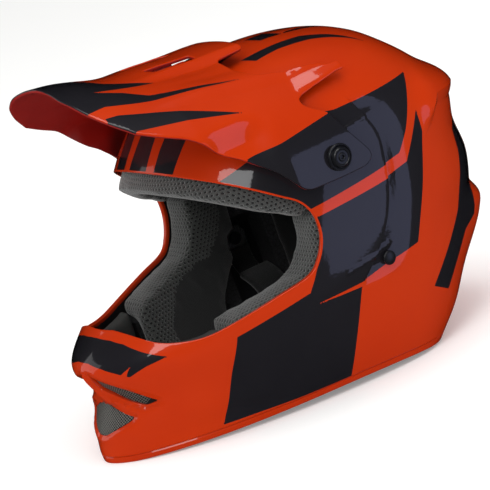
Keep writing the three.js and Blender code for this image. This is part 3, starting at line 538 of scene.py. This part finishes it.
# ------------------------------------------------------------------ materials
class Nodes:
    def __init__(self, name):
        self.material = bpy.data.materials.new(name)
        self.material.use_nodes = True
        self.tree = self.material.node_tree
        self.shader = self.tree.nodes["Principled BSDF"]

    def add(self, kind, inputs=(), **settings):
        node = self.tree.nodes.new(kind)
        for key, value in settings.items():
            setattr(node, key, value)
        for key, value in dict(inputs).items():
            self.feed(node, key, value)
        return node

    def feed(self, node, key, value):
        if isinstance(value, bpy.types.NodeSocket):
            self.tree.links.new(value, node.inputs[key])
        else:
            node.inputs[key].default_value = value

    def math(self, operation, a, b=0.0):
        return self.add("ShaderNodeMath", {0: a, 1: b}, operation=operation).outputs[0]

    def noise(self, scale, detail=2.0, vector=None):
        node = self.add("ShaderNodeTexNoise", {"Scale": scale, "Detail": detail})
        self.feed(node, "Vector", vector if vector is not None else self.position())
        return node.outputs["Fac"]

    def position(self):
        return self.add("ShaderNodeTexCoord").outputs["Object"]

    def mix(self, factor, a, b):
        node = self.add("ShaderNodeMix", data_type="RGBA")
        self.feed(node, 0, factor)
        self.feed(node, 6, a)
        self.feed(node, 7, b)
        return node.outputs[2]

    def ramp(self, value, lo, hi):
        node = self.add("ShaderNodeMapRange", {"Value": value, "From Min": lo, "From Max": hi})
        return node.outputs["Result"]

    def spread(self, value, lo, hi):
        node = self.add("ShaderNodeMapRange", {"Value": value, "To Min": lo, "To Max": hi})
        return node.outputs["Result"]

    def bump(self, height, strength, distance):
        node = self.add("ShaderNodeBump", {"Height": height, "Strength": strength, "Distance": distance})
        return node.outputs["Normal"]

    def set(self, **values):
        for key, value in values.items():
            self.feed(self.shader, key.replace("_", " "), value)
        return self.material

    def face_coordinates(self):
        """(a, b) in metres on whichever axis plane the face lies closest to."""
        split = self.add("ShaderNodeSeparateXYZ", {"Vector": self.position()})
        x, y, z = split.outputs
        geometry = self.add("ShaderNodeNewGeometry")
        facing = self.add("ShaderNodeSeparateXYZ", {"Vector": geometry.outputs["Normal"]})
        nx, ny, nz = [self.math("ABSOLUTE", out) for out in facing.outputs]
        side = self.math("GREATER_THAN", nx, self.math("MAXIMUM", ny, nz))
        top = self.math("MULTIPLY", self.math("GREATER_THAN", nz, ny), self.math("SUBTRACT", 1.0, side))
        a = self.add("ShaderNodeMix", {0: side, 2: x, 3: y}).outputs[0]
        b = self.add("ShaderNodeMix", {0: top, 2: z, 3: y}).outputs[0]
        return a, b


def linear(r, g, b):
    """Display colour 0-255 as the linear values that shaders take."""
    values = [((v / 255 + 0.055) / 1.055) ** 2.4 if v > 10 else v / 255 / 12.92 for v in (r, g, b)]
    return (*values, 1.0)


def lacquer(name, colour, deep, roughness=0.34):
    """Painted and clear-coated plastic: faint colour drift, orange peel and dust in the coat."""
    n = Nodes(name)
    drift = n.ramp(n.noise(14.0, 3.0), 0.3, 0.7)
    n.set(Base_Color=n.mix(drift, colour, deep), Roughness=roughness, Coat_Weight=1.0)
    n.set(Specular_IOR_Level=0.1)
    smudge = n.ramp(n.noise(60.0, 6.0), 0.35, 0.75)
    n.set(Coat_Roughness=n.spread(smudge, 0.03, 0.08))
    peel = n.bump(n.noise(420.0, 1.0), 0.05, 0.0004)
    n.set(Normal=peel, Coat_Normal=peel)
    return n.material


def plastic(name, colour, deep, roughness, grain=1500.0, strength=0.25):
    n = Nodes(name)
    n.set(Base_Color=n.mix(n.ramp(n.noise(40.0, 4.0), 0.3, 0.7), colour, deep))
    speckle = n.noise(grain, 3.0)
    n.set(Roughness=n.spread(speckle, roughness * 0.8, roughness * 1.2))
    n.set(Normal=n.bump(speckle, strength, 0.0002))
    return n.material


def spacer_mesh(name, pitch, yarn, hole_shade):
    """Knitted spacer fabric: rows of small holes on a hexagonal lattice, painted near black as the shade
    inside them.
    """
    n = Nodes(name)
    a, b = n.face_coordinates()
    wobble = n.math("MULTIPLY", n.math("SUBTRACT", n.noise(220.0, 2.0), 0.5), 0.0009)
    a, b = n.math("ADD", a, wobble), n.math("ADD", b, wobble)
    k = 2 * math.pi / pitch
    up = n.math("MULTIPLY", b, k * 0.577)
    across = n.math("MULTIPLY", a, k)
    waves = [n.math("COSINE", n.math("MULTIPLY", up, 2.0)),
             n.math("COSINE", n.math("ADD", across, up)),
             n.math("COSINE", n.math("SUBTRACT", across, up))]
    lattice = n.math("ADD", n.math("ADD", waves[0], waves[1]), waves[2])
    hole = n.ramp(lattice, 0.0, 1.0)
    fuzz = n.noise(2600.0, 3.0)
    tone = n.mix(n.ramp(fuzz, 0.3, 0.7), yarn, tuple(0.6 * v for v in yarn[:3]) + (1.0,))
    # The holes take the near-black colour: painted shade in their depth.
    n.set(Base_Color=n.mix(hole, tone, hole_shade), Roughness=0.85, Sheen_Weight=0.4, Sheen_Roughness=0.5)
    height = n.math("SUBTRACT", n.math("MULTIPLY", fuzz, 0.25), hole)
    n.set(Normal=n.bump(height, 0.9, 0.0009))
    return n.material


def woven(name, colour, deep, pitch, roughness=0.8):
    """Plain-woven cloth or webbing, with threads over and under each other."""
    n = Nodes(name)
    a, b = n.face_coordinates()
    k = math.pi / pitch
    warp = n.math("SINE", n.math("MULTIPLY", a, k))
    weft = n.math("SINE", n.math("MULTIPLY", b, k))
    weave = n.math("ADD", n.math("MULTIPLY", n.math("MULTIPLY", warp, weft), 0.5), 0.5)
    fuzz = n.noise(3200.0, 2.0)
    n.set(Base_Color=n.mix(n.ramp(weave, 0.15, 0.85), deep, colour), Roughness=roughness)
    n.set(Sheen_Weight=0.3, Normal=n.bump(n.math("ADD", weave, fuzz), 0.6, 0.0004))
    return n.material


def bead_foam(name, colour, deep):
    """Moulded polystyrene beads."""
    n = Nodes(name)
    cells = n.add("ShaderNodeTexVoronoi", {"Scale": 330.0, "Vector": n.position()},
                  feature="DISTANCE_TO_EDGE")
    edge = n.ramp(cells.outputs["Distance"], 0.0, 0.12)
    n.set(Base_Color=n.mix(edge, deep, colour), Roughness=0.75, Normal=n.bump(edge, 0.5, 0.0006))
    return n.material


def metal(name, colour, roughness):
    n = Nodes(name)
    streak = n.add("ShaderNodeMapping", {"Vector": n.position(), "Scale": (60.0, 2400.0, 60.0)})
    lines = n.noise(1.0, 4.0, streak.outputs[0])
    n.set(Base_Color=colour, Metallic=1.0, Normal=n.bump(lines, 0.15, 0.0001))
    n.set(Roughness=n.spread(lines, roughness * 0.7, roughness * 1.4))
    return n.material


def wire_mesh(name, pitch):
    """Fine diagonal wire mesh, opaque, its gaps between the wires painted near black as shade."""
    n = Nodes(name)
    split = n.add("ShaderNodeSeparateXYZ", {"Vector": n.position()})
    x, _, z = split.outputs
    k = math.pi / pitch
    one = n.math("ABSOLUTE", n.math("SINE", n.math("MULTIPLY", n.math("ADD", x, z), k)))
    two = n.math("ABSOLUTE", n.math("SINE", n.math("MULTIPLY", n.math("SUBTRACT", x, z), k)))
    wire = n.ramp(n.math("MINIMUM", one, two), 0.45, 0.25)
    # Between the wires the colour is near black: painted shade of the vent's inside, as the mesh is opaque.
    n.set(Base_Color=n.mix(wire, linear(14, 14, 15), linear(150, 150, 144)), Roughness=0.42)
    n.set(Metallic=n.math("MULTIPLY", wire, 0.4), Normal=n.bump(wire, 0.9, 0.0006))
    return n.material


ORANGE = lacquer("orange lacquer", linear(192, 49, 0), linear(184, 44, 0))
BLACK = lacquer("black lacquer", linear(31, 30, 34), linear(27, 26, 30), 0.3)
# Bare red plastic under the peak and on its tongue, its colour darkened as painted shade.
SHADED_UNDERSIDE = plastic("peak underside with painted shade", linear(150, 14, 6), linear(140, 12, 6), 0.42, 900.0, 0.1)
INNER_SHELL = plastic("bare shell inside", linear(28, 28, 29), linear(20, 20, 21), 0.6)
SPACER = spacer_mesh("spacer mesh", 0.0031, linear(66, 68, 66), linear(9, 9, 9))
SPACER_FINE = spacer_mesh("fine spacer mesh", 0.0033, linear(72, 75, 72), linear(9, 9, 9))
LINING = woven("brushed lining", linear(34, 35, 35), linear(24, 24, 25), 0.0007)
SOFT_GREY = plastic("soft grey foam skin", linear(62, 64, 62), linear(52, 54, 52), 0.75, 2200.0, 0.4)
FOAM = bead_foam("polystyrene", linear(52, 52, 54), linear(30, 30, 31))
WIRE = wire_mesh("vent mesh", 0.0021)
DARK_PLASTIC = plastic("black plastic", linear(26, 27, 31), linear(20, 21, 24), 0.32)
WASHER = plastic("washer rubber", linear(30, 30, 30), linear(22, 22, 22), 0.8)
STEEL = metal("plated steel", (0.62, 0.63, 0.64, 1.0), 0.28)
STRAP = woven("webbing", linear(30, 30, 31), linear(12, 12, 13), 0.0013)


# ------------------------------------------------------------------ outer shell
PORT = [(-300.0, 187.0)] + splined(PORT_EDGE) + [(-300.0, 94.0)]
PANEL_ARC = splined(PANEL_REAR)
VENTS = [rounded(UPPER_VENT, 1.6), rounded(LOWER_VENT, 2.0)]


def above_rim(p):
    ys, zs = zip(*splined(RIM_ARCH))
    return p[:, 2] - np.interp(p[:, 1], ys, zs, left=0, right=0)


def outside_port(p):
    return -inside_distance(p[:, 1], p[:, 2], PORT)


def outside_vent(p, vent):
    return np.where(p[:, 1] < -110, -inside_distance(p[:, 0], p[:, 2], vent), 60.0)


def ahead_of_panel_edge(p):
    return beside(p[:, 1], p[:, 2], PANEL_ARC)


def off_guide(p, path):
    return np.where(p[:, 0] > 50, np.abs(beside(p[:, 1], p[:, 2], path)), 60.0)


def above_fin_edge(p):
    return beside(p[:, 1], p[:, 2], FIN_EDGE)


def shell_relief(p):
    x, y, z = p.T
    ahead = ahead_of_panel_edge(p)
    ends = smoothstep(z, 72, 84) * (1 - smoothstep(z, 190, 206)) * (x > 50)
    raised = 1.7 * (1 - smoothstep(ahead, 4, 46))
    sunk = 1.5 * (1 - smoothstep(-ahead, 8, 30))
    edge = np.clip(1 + ahead / 1.8, 0, 1)
    h = ends * np.where(ahead > 0, raised - 0.3 * (1 - smoothstep(ahead, 0, 1.2)),
                        1.4 * edge - sunk * (1 - edge))
    for path in GUIDES:
        h += 0.8 * (1 - smoothstep(off_guide(p, path), 0.8, 2.4))
    h -= 0.8 * (1 - smoothstep(np.abs(above_rim(p) - 4.8), 0.1, 0.8))
    for vent in VENTS:
        h -= 2.2 * (1 - smoothstep(outside_vent(p, vent), 0.4, 4.2))
    below = -beside(y, z, CHIN_CREASE)
    h -= 2.0 * smoothstep(below, 0, 16) * (1 - smoothstep(y, -100, -60)) * smoothstep(z, 4, 16)
    up = above_fin_edge(p)
    fin = smoothstep(y, 78, 100) * (x > 20)
    h += fin * np.where(up > 0, 5.0 * (1 - smoothstep(up, 0, 26)), 5.0 * np.clip(1 + up / 7, 0, 1))
    return h


def shell_black(p):
    """Positive where the shell is painted black."""
    x, y, z = p.T
    side = np.maximum(inside_distance(y, z, BLACK_UPPER), inside_distance(y, z, BLACK_SIDE))
    side = np.where(x > 50, side, -60)
    side = np.maximum(side, np.where((y > 50) & (x > 20), inside_distance(y, z, BLACK_REAR), -60))
    chin = np.where((y < -120) & (z < 110), inside_distance(x, z, BLACK_CHIN), -60)
    brow = np.maximum(inside_distance(x, z, BLACK_BROW_CENTRE), inside_distance(x, z, BLACK_BROW_SIDE))
    brow = np.where((y < -40) & (z > 150) & (x < 60), brow, -60)
    crown = np.full(x.shape, -60.0)
    for patch in BLACK_CROWN:
        crown = np.maximum(crown, inside_distance(x, y, patch))
    crown = np.where(z > 205, crown, -60)
    black = np.maximum(np.maximum(side, chin), np.maximum(brow, crown))
    return np.minimum(black, outside_port(p) - 1.3)


def shell_sheet(spacing):
    us = even_steps(lambda t: shell_surface(np.stack([t, np.full(t.shape, 3.6)], 1)),
                    -math.pi / 2, math.pi / 2, spacing)
    last = len(SECTIONS) - 1
    middle = even_steps(lambda t: shell_surface(np.stack([np.full(t.shape, -math.pi / 2), t], 1)),
                        0, last, spacing)
    side = even_steps(lambda t: shell_surface(np.stack([np.full(t.shape, 0.1), t], 1)), 0, last, spacing)
    count = max(len(middle), len(side))
    even = [np.interp(np.linspace(0, 1, count), np.linspace(0, 1, len(v)), v) for v in (middle, side)]
    return Sheet(shell_surface, us, (even[0] + even[1]) / 2)


def trim_shell(sheet):
    sheet.cut(lambda p: outside_port(p) - 0.8, keep_positive=True)
    sheet.cut(lambda p: above_rim(p) - 0.8, keep_positive=True)
    for vent in VENTS:
        sheet.cut(lambda p: outside_vent(p, vent) - 0.6, keep_positive=True)
    return sheet


SKIN_SPACING = 2.7  # between points of the shell's skin
FINE_REACH = 3.5  # how far from a painted or cut edge the skin is made finer


def off_detail(p):
    """Distance in mm to the nearest paint edge, vent or guide ridge."""
    nearest = np.minimum(np.abs(shell_black(p)), np.abs(outside_port(p)))
    for path in GUIDES:
        nearest = np.minimum(nearest, off_guide(p, path))
    for vent in VENTS:
        nearest = np.minimum(nearest, np.abs(outside_vent(p, vent)))
    return nearest


skin = shell_sheet(SKIN_SPACING)
skin.refine(off_detail, FINE_REACH)
trim_shell(skin)
for level in (0.0, -1.8):
    skin.cut(lambda p: np.where(p[:, 0] > 50, ahead_of_panel_edge(p) - level, 60.0), snap=0.2)
for level in (0.0, -7.0):
    skin.cut(lambda p: np.where((p[:, 0] > 20) & (p[:, 1] > 70), above_fin_edge(p) - level, 60.0), snap=0.2)
for path in GUIDES:
    for level in (0.8, 2.4):
        skin.cut(lambda p: off_guide(p, path) - level, snap=0.15)
for level in (4.0, 4.8, 5.6):
    skin.cut(lambda p: above_rim(p) - level, snap=0.15)
skin.cut(shell_black, snap=0.15)
shell = build_panel("outer_shell_skin", skin, shell_relief, 0.8, SHELL_WALL, 2.0, [ORANGE, BLACK],
                    lambda p: (shell_black(p) > 0).astype(int))
installed(shell, "helmet", "outer_shell")

inside = trim_shell(shell_sheet(6.0))
base, _, normals = inside.finish(lambda p: np.zeros(len(p)))
inner_wall = add_object("outer_shell_inside", base - normals * (SHELL_WALL - 0.1), inside.tris[:, ::-1],
                        [INNER_SHELL], mirror=True)
installed(inner_wall, "helmet")

# ------------------------------------------------------------------ vent meshes
MESH_DEPTH = SHELL_WALL + 0.35 + 0.8


def vent_sheet(name, node, outline, mirror_x):
    sheet = shell_sheet(3.0)
    sheet.cut(lambda p: np.where(p[:, 1] < -110, inside_distance(p[:, 0], p[:, 2], outline), -60.0),
              keep_positive=True)
    base, _, normals = sheet.finish(lambda p: np.zeros(len(p)))
    points = base - normals * MESH_DEPTH
    if mirror_x < 0:
        points = points * (-1, 1, 1)
    obj = add_object(name, points, sheet.tris if mirror_x > 0 else sheet.tris[:, ::-1], [WIRE],
                     mirror=mirror_x == 0)
    obj.modifiers.new("wall", "SOLIDIFY").thickness = 1.2 * MM
    installed(obj, "helmet", node)


UPPER_MESH = [(3.5, 69), (48, 43), (40, 38), (3.5, 49.5)]
LOWER_MESH = [(-33, 33), (-6, 19.5), (6, 19.5), (33, 33), (0, 46)]
vent_sheet("vent_mesh_left", "chin_vent_mesh_left", UPPER_MESH, 1)
vent_sheet("vent_mesh_right", "chin_vent_mesh_right", UPPER_MESH, -1)
vent_sheet("vent_mesh_centre", "chin_vent_mesh_centre", LOWER_MESH, 0)

# ------------------------------------------------------------------ peak
SIDE_KEEP = ([(-260.0, 320.0), (-260.0, 232.0), (-150.0, 240.0)]
             + rounded(PEAK_SIDE, 4, closed=False) + [(60.0, 222.0), (60.0, 320.0)])
TOP_KEEP = ([(-80.0, -150.0)] + rounded(PEAK_FRONT, 5, closed=False)
            + [(130.0, -100.0), (130.0, 60.0), (92.0, 60.0)] + rounded(PEAK_REAR, 3, closed=False)
            + [(-80.0, 0.0)])
ROUND_PEAK_VENT = rounded(PEAK_VENT, 2)


def ridge_lines(y):
    low = np.interp(y, RIDGE_Y, RIDGE_LOW)
    return low - np.interp(y, RIDGE_Y, RIDGE_WIDE), low


def peak_relief(p):
    x, y, z = p.T
    crest, low = ridge_lines(y)
    run = smoothstep(y, -112, -60)
    face = np.clip((low - x) / np.maximum(low - crest, 0.5), 0, 1)
    h = run * np.where(x < crest, 2.6 * (1 - smoothstep(crest - x, 0, 20)), 2.6 * face)
    return h * (z > 190)


def peak_black(p):
    x, y, z = p.T
    top = np.maximum(inside_distance(x, y, PEAK_BLACK_TOP), inside_distance(x, y, PEAK_BLACK_FLANK))
    top = np.where(z > 205, top, -60)
    return np.maximum(top, inside_distance(y, z, PEAK_BLACK_EAR))


cap = Sheet(peak_surface, np.linspace(0, math.radians(96), 92), np.linspace(-160, 34, 94))
cap.refine(peak_black, 4.0)
cap.cut(lambda p: inside_distance(p[:, 1], p[:, 2], SIDE_KEEP) - 0.8, keep_positive=True)
cap.cut(lambda p: inside_distance(p[:, 0], p[:, 1], TOP_KEEP) - 0.8, keep_positive=True)
cap.cut(lambda p: -inside_distance(p[:, 0], p[:, 1], ROUND_PEAK_VENT) - 0.6, keep_positive=True)
for which in (0, 1):
    cap.cut(lambda p: np.where(p[:, 1] > -112, ridge_lines(p[:, 1])[which] - p[:, 0], 60.0), snap=0.2)
cap.cut(peak_black, snap=0.15)
peak = build_panel("peak_shell", cap, peak_relief, 0.8, PEAK_WALL, 0.0, [ORANGE, BLACK, SHADED_UNDERSIDE],
                   lambda p: (peak_black(p) > 0).astype(int), inner=2)
installed(peak, "peak", "peak")

# Slotted tongue that the top screw holds, and the two ribs that carry it under the scoop.
TONGUE_RADIUS = 77.89
TONGUE_THICK = 2.4
TONGUE_X = [-11, -3.3, 3.3, 11]
TONGUE_DEGREES = [8, 10.5, 13, 17.5, 22, 26.5, 31, 33, 35]  # the last three carry the ribs
SLOT_DEGREES = (13, 31)
SCOOP_ROOF = [(-48, 252.6), (-62, 252.6)]


def on_arc(radius, degrees):
    a = math.radians(degrees)
    return PIVOT[0] - radius * math.sin(a), PIVOT[1] + radius * math.cos(a)


tongue_points = [(x, *on_arc(TONGUE_RADIUS, d)) for d in TONGUE_DEGREES for x in TONGUE_X]
tongue_faces = []
for row in range(len(TONGUE_DEGREES) - 1):
    for column in range(3):
        in_slot = column == 1 and SLOT_DEGREES[0] <= TONGUE_DEGREES[row] < SLOT_DEGREES[1]
        if not in_slot:
            a = row * 4 + column
            tongue_faces.append((a, a + 1, a + 5, a + 4))
rib_outline = [on_arc(TONGUE_RADIUS - 1.9, d) for d in TONGUE_DEGREES[:5:-1]] + SCOOP_ROOF
for x in (TONGUE_X[0], TONGUE_X[-1] - TONGUE_THICK):
    start = len(tongue_points)
    tongue_points += [(x, y, z) for y, z in rib_outline]
    tongue_faces.append(tuple(range(start, len(tongue_points))))
tongue = add_object("peak_tongue", tongue_points, tongue_faces, [SHADED_UNDERSIDE])
wall = tongue.modifiers.new("wall", "SOLIDIFY")
wall.thickness, wall.offset = TONGUE_THICK * MM, 1
softened(tongue, 0.4)
installed(tongue, "peak")


# ------------------------------------------------------------------ soft lining
PUFF_PRESSURE = 3.0
PUFF_FRAMES = 14


def remeshed(node, name, voxel):
    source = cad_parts[node]
    obj = bpy.data.objects.new(name, source.data.copy())
    obj.matrix_world = source.matrix_world
    bpy.context.scene.collection.objects.link(obj)
    obj.data.materials.clear()
    modifier = obj.modifiers.new("voxels", "REMESH")
    modifier.mode, modifier.voxel_size, modifier.use_smooth_shade = "VOXEL", voxel, True
    apply_modifiers(obj)
    return obj


def apply_modifiers(obj):
    graph = bpy.context.evaluated_depsgraph_get()
    mesh = bpy.data.meshes.new_from_object(obj.evaluated_get(graph))
    obj.modifiers.clear()
    old = obj.data
    obj.data = mesh
    bpy.data.meshes.remove(old)


def coordinates(obj):
    flat = np.empty(len(obj.data.vertices) * 3)
    obj.data.vertices.foreach_get("co", flat)
    return flat.reshape(-1, 3)


def relaxed(obj, rounds, factor=0.5):
    """Smooths the mesh in place, which rounds its edges."""
    p = coordinates(obj)
    edges = np.array([e.vertices[:] for e in obj.data.edges])
    count = np.bincount(edges.ravel(), minlength=len(p))[:, None]
    for _ in range(rounds):
        total = np.zeros_like(p)
        np.add.at(total, edges[:, 0], p[edges[:, 1]])
        np.add.at(total, edges[:, 1], p[edges[:, 0]])
        p = p + factor * (total / np.maximum(count, 1) - p)
    obj.data.vertices.foreach_set("co", p.ravel())
    obj.data.update()


def puffed(obj, cap):
    """Blows the pad up a little as cloth, and limits how far any point may move."""
    start = coordinates(obj)
    cloth = obj.modifiers.new("puff", "CLOTH")
    cloth.settings.use_pressure = True
    cloth.settings.uniform_pressure_force = PUFF_PRESSURE
    cloth.settings.effector_weights.gravity = 0
    cloth.settings.quality = 4
    cloth.point_cache.frame_start, cloth.point_cache.frame_end = 1, PUFF_FRAMES
    for number in range(1, PUFF_FRAMES + 1):
        bpy.context.scene.frame_set(number)
    apply_modifiers(obj)
    bpy.context.scene.frame_set(1)
    moved = coordinates(obj) - start
    size = np.maximum(np.linalg.norm(moved, axis=1, keepdims=True), 1e-9)
    obj.data.vertices.foreach_set("co", (start + moved * np.minimum(1, cap / size)).ravel())
    obj.data.update()


def pad(node, materials, voxel=0.003, rounds=10, body="helmet", cap=0.003,
        pick=None):
    obj = remeshed(node, node + "_soft", voxel)
    relaxed(obj, rounds)
    puffed(obj, cap)
    for material in materials:
        obj.data.materials.append(material)
    if pick:
        centres = np.array([polygon.center for polygon in obj.data.polygons]) / MM - (0, CENTRE_Y, 0)
        normals = np.array([polygon.normal for polygon in obj.data.polygons])
        obj.data.polygons.foreach_set("material_index", pick(centres, normals).astype(np.int32))
    obj.modifiers.new("smooth", "SUBSURF").levels = 1
    obj.modifiers["smooth"].render_levels = 1
    installed(obj, body, node)


def webbing(node):
    """The strap's webbing with rounded selvedges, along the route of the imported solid."""
    obj = remeshed(node, node + "_webbing", 0.0009)
    relaxed(obj, 3, 0.4)
    obj.data.materials.append(STRAP)
    installed(obj, "chin_strap", node)


def cheek_faces(p, normals):
    """Lining on the face against the cheek, spacer mesh round it."""
    x, y, z = np.abs(p[:, 0]), p[:, 1], p[:, 2]
    panel = inside_distance(y, z, CHEEK_PANEL)
    inward = -normals[:, 0] * np.sign(p[:, 0])
    return (panel > 0) & (inward > 0.4)


CHEEK_PANEL = [(-77, 57), (-69, 66), (-62, 77), (-52, 83), (-36, 87), (-21, 89), (-5, 104), (0, 114),
               (2, 123), (20, 123), (20, 10), (-77, 10)]
pad("brow_pad", [SPACER], voxel=0.0025, rounds=6, cap=0.0015)
for side in ("left", "right"):
    pad(f"cheek_pad_{side}", [SPACER_FINE, LINING], voxel=0.003, rounds=12, pick=cheek_faces)
    pad(f"side_pad_{side}", [LINING], voxel=0.003, rounds=8)
    pad(f"strap_sleeve_{side}", [LINING], voxel=0.0016, rounds=5, body="chin_strap", cap=0.0006)
webbing("strap_buckle_side")
webbing("strap_free_side")
pad("crown_pad", [SPACER_FINE], voxel=0.004, rounds=8)
pad("nape_pad", [LINING], voxel=0.0035, rounds=10)
pad("chin_bar_foam", [SOFT_GREY], voxel=0.003, rounds=8, cap=0.001)


# ------------------------------------------------------------------ turned and bent pieces
def lathe(profile, node, body, place, facets=72):
    """Turned black plastic piece about a line. The profile is (height, radius) in mm."""
    points, faces = [], []
    for h, r in profile:
        for k in range(facets):
            a = 2 * math.pi * k / facets
            points.append(place(h, r * math.cos(a), r * math.sin(a)))
    for i in range(len(profile) - 1):
        for k in range(facets):
            j = (k + 1) % facets
            faces.append((i * facets + k, i * facets + j, (i + 1) * facets + j, (i + 1) * facets + k))
    obj = add_object(node + "_turned", points, faces, [DARK_PLASTIC], smooth_angle=40)
    softened(obj, 0.25)
    installed(obj, body, node)


def outer_end(node, sign):
    """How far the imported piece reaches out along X, in mm."""
    low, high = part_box(node)
    return high[0] / MM if sign > 0 else -low[0] / MM


SCREW_HEAD = 5.0  # height of the screw's head above its seat


for side, sign in (("left", 1), ("right", -1)):
    head = outer_end(f"side_screw_{side}", sign) - SCREW_HEAD

    def on_pivot(h, a, b):
        return (sign * h, PIVOT[0] + a, PIVOT[1] + sign * b)

    profile = [(head - 22, 0.01), (head - 22, 3.0), (head, 3.0), (head, 9.6), (head + 1.4, 9.6),
               (head + 2.0, 9.0), (head + 2.0, 8.4), (head + 1.2, 7.8), (head + 1.2, 7.3),
               (head + 3.4, 6.9), (head + 4.2, 6.2), (head + 4.4, 5.6), (head + 3.6, 5.0),
               (head + 3.6, 3.0), (head + 4.4, 2.6), (head + 4.4, 1.5), (head + 3.0, 1.3),
               (head + 3.0, 0.01)]
    lathe(profile, f"side_screw_{side}", f"side_screw_{side}", on_pivot)
    tip = outer_end(f"strap_rivet_{side}", sign)

    def on_rivet(h, a, b):
        return (sign * h, RIVET[0] + a, RIVET[1] + sign * b)

    profile = [(tip - 16, 0.01), (tip - 16, 5.0), (tip - 15, 5.0), (tip - 15, 3.0), (tip - 2.0, 3.0),
               (tip - 2.0, 5.3), (tip - 1.0, 4.9), (tip - 0.2, 3.2), (tip, 0.01)]
    lathe(profile, f"strap_rivet_{side}", "helmet", on_rivet)

# ------------------------------------------------------------------ carried-over CAD pieces
CARRIED = {
    "eps_crown_liner": FOAM, "eps_cheek_block_left": FOAM, "eps_cheek_block_right": FOAM,
    "cheek_stud_left_1": DARK_PLASTIC, "cheek_stud_left_2": DARK_PLASTIC,
    "cheek_stud_right_1": DARK_PLASTIC, "cheek_stud_right_2": DARK_PLASTIC,
    "screw_insert_left": STEEL, "screw_insert_right": STEEL, "screw_insert_top": STEEL,
    "washer_left": WASHER, "washer_right": WASHER, "top_screw": DARK_PLASTIC,
    "strap_anchor_left": STEEL, "strap_anchor_right": STEEL, "d_ring_lower": STEEL,
    "d_ring_upper": STEEL, "strap_stud": DARK_PLASTIC, "strap_stud_cap": DARK_PLASTIC}
for node, material in CARRIED.items():
    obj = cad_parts[node]
    obj.data.materials.clear()
    obj.data.materials.append(material)
    softened(obj, 0.4)

# ------------------------------------------------------------------ studio
TARGET = Vector((0, -16.45, 105)) * MM
AZIMUTH, ELEVATION, ROLL = math.radians(60.5), math.radians(14.5), math.radians(16.4)
DISTANCE = 1.8
FOCAL_LENGTH = 181.2

back = Vector((math.sin(AZIMUTH) * math.cos(ELEVATION), -math.cos(AZIMUTH) * math.cos(ELEVATION),
               math.sin(ELEVATION)))
right = Vector((math.cos(AZIMUTH), math.sin(AZIMUTH), 0))
up = back.cross(right)
tilted_right = math.cos(ROLL) * right - math.sin(ROLL) * up
tilted_up = math.sin(ROLL) * right + math.cos(ROLL) * up
camera = bpy.data.objects.new("camera", bpy.data.cameras.new("camera"))
camera.data.lens = FOCAL_LENGTH
camera.data.sensor_width = 36.0
camera.matrix_world = Matrix([(*row, place) for row, place in zip(
    zip(tilted_right, tilted_up, back), TARGET + back * DISTANCE)] + [(0, 0, 0, 1)])
bpy.context.scene.collection.objects.link(camera)
bpy.context.scene.camera = camera

floor_mesh = bpy.data.meshes.new("floor")
floor_mesh.from_pydata([(-8, -8, 0), (8, -8, 0), (8, 8, 0), (-8, 8, 0)], [], [(0, 1, 2, 3)])
floor = bpy.data.objects.new("floor", floor_mesh)
bpy.context.scene.collection.objects.link(floor)
paper = Nodes("pale paper")
paper.set(Base_Color=paper.mix(paper.noise(3.0), (0.9, 0.9, 0.89, 1), (0.93, 0.93, 0.92, 1)), Roughness=0.9)
paper.set(Emission_Color=(1, 1, 0.99, 1), Emission_Strength=0.18)
floor_mesh.materials.append(paper.material)


def softbox(name, place, size, power, colour=(1, 1, 1)):
    light = bpy.data.lights.new(name, "AREA")
    light.shape, light.size, light.size_y = "RECTANGLE", size[0], size[1]
    light.energy, light.color = power, colour
    obj = bpy.data.objects.new(name, light)
    obj.location = place
    obj.rotation_euler = (TARGET - Vector(place)).to_track_quat("-Z", "Y").to_euler()
    bpy.context.scene.collection.objects.link(obj)


softbox("key", (1.3, -1.7, 1.9), (1.2, 1.2), 18)
softbox("window", (2.1, 1.1, -0.1), (1.5, 1.9), 8, (0.55, 0.6, 1.0))
softbox("top", (0.5, 0.0, 2.6), (1.6, 1.6), 26)
softbox("fill", (-1.8, -1.8, 0.8), (1.6, 1.6), 6)
world = bpy.data.worlds.new("world")
world.use_nodes = True
world.node_tree.nodes["Background"].inputs["Color"].default_value = (1.0, 1.0, 0.995, 1)
world.node_tree.nodes["Background"].inputs["Strength"].default_value = 0.72
world.cycles_visibility.glossy = False
floor.visible_glossy = False
bpy.context.scene.world = world
bpy.context.scene.view_settings.view_transform = "Standard"
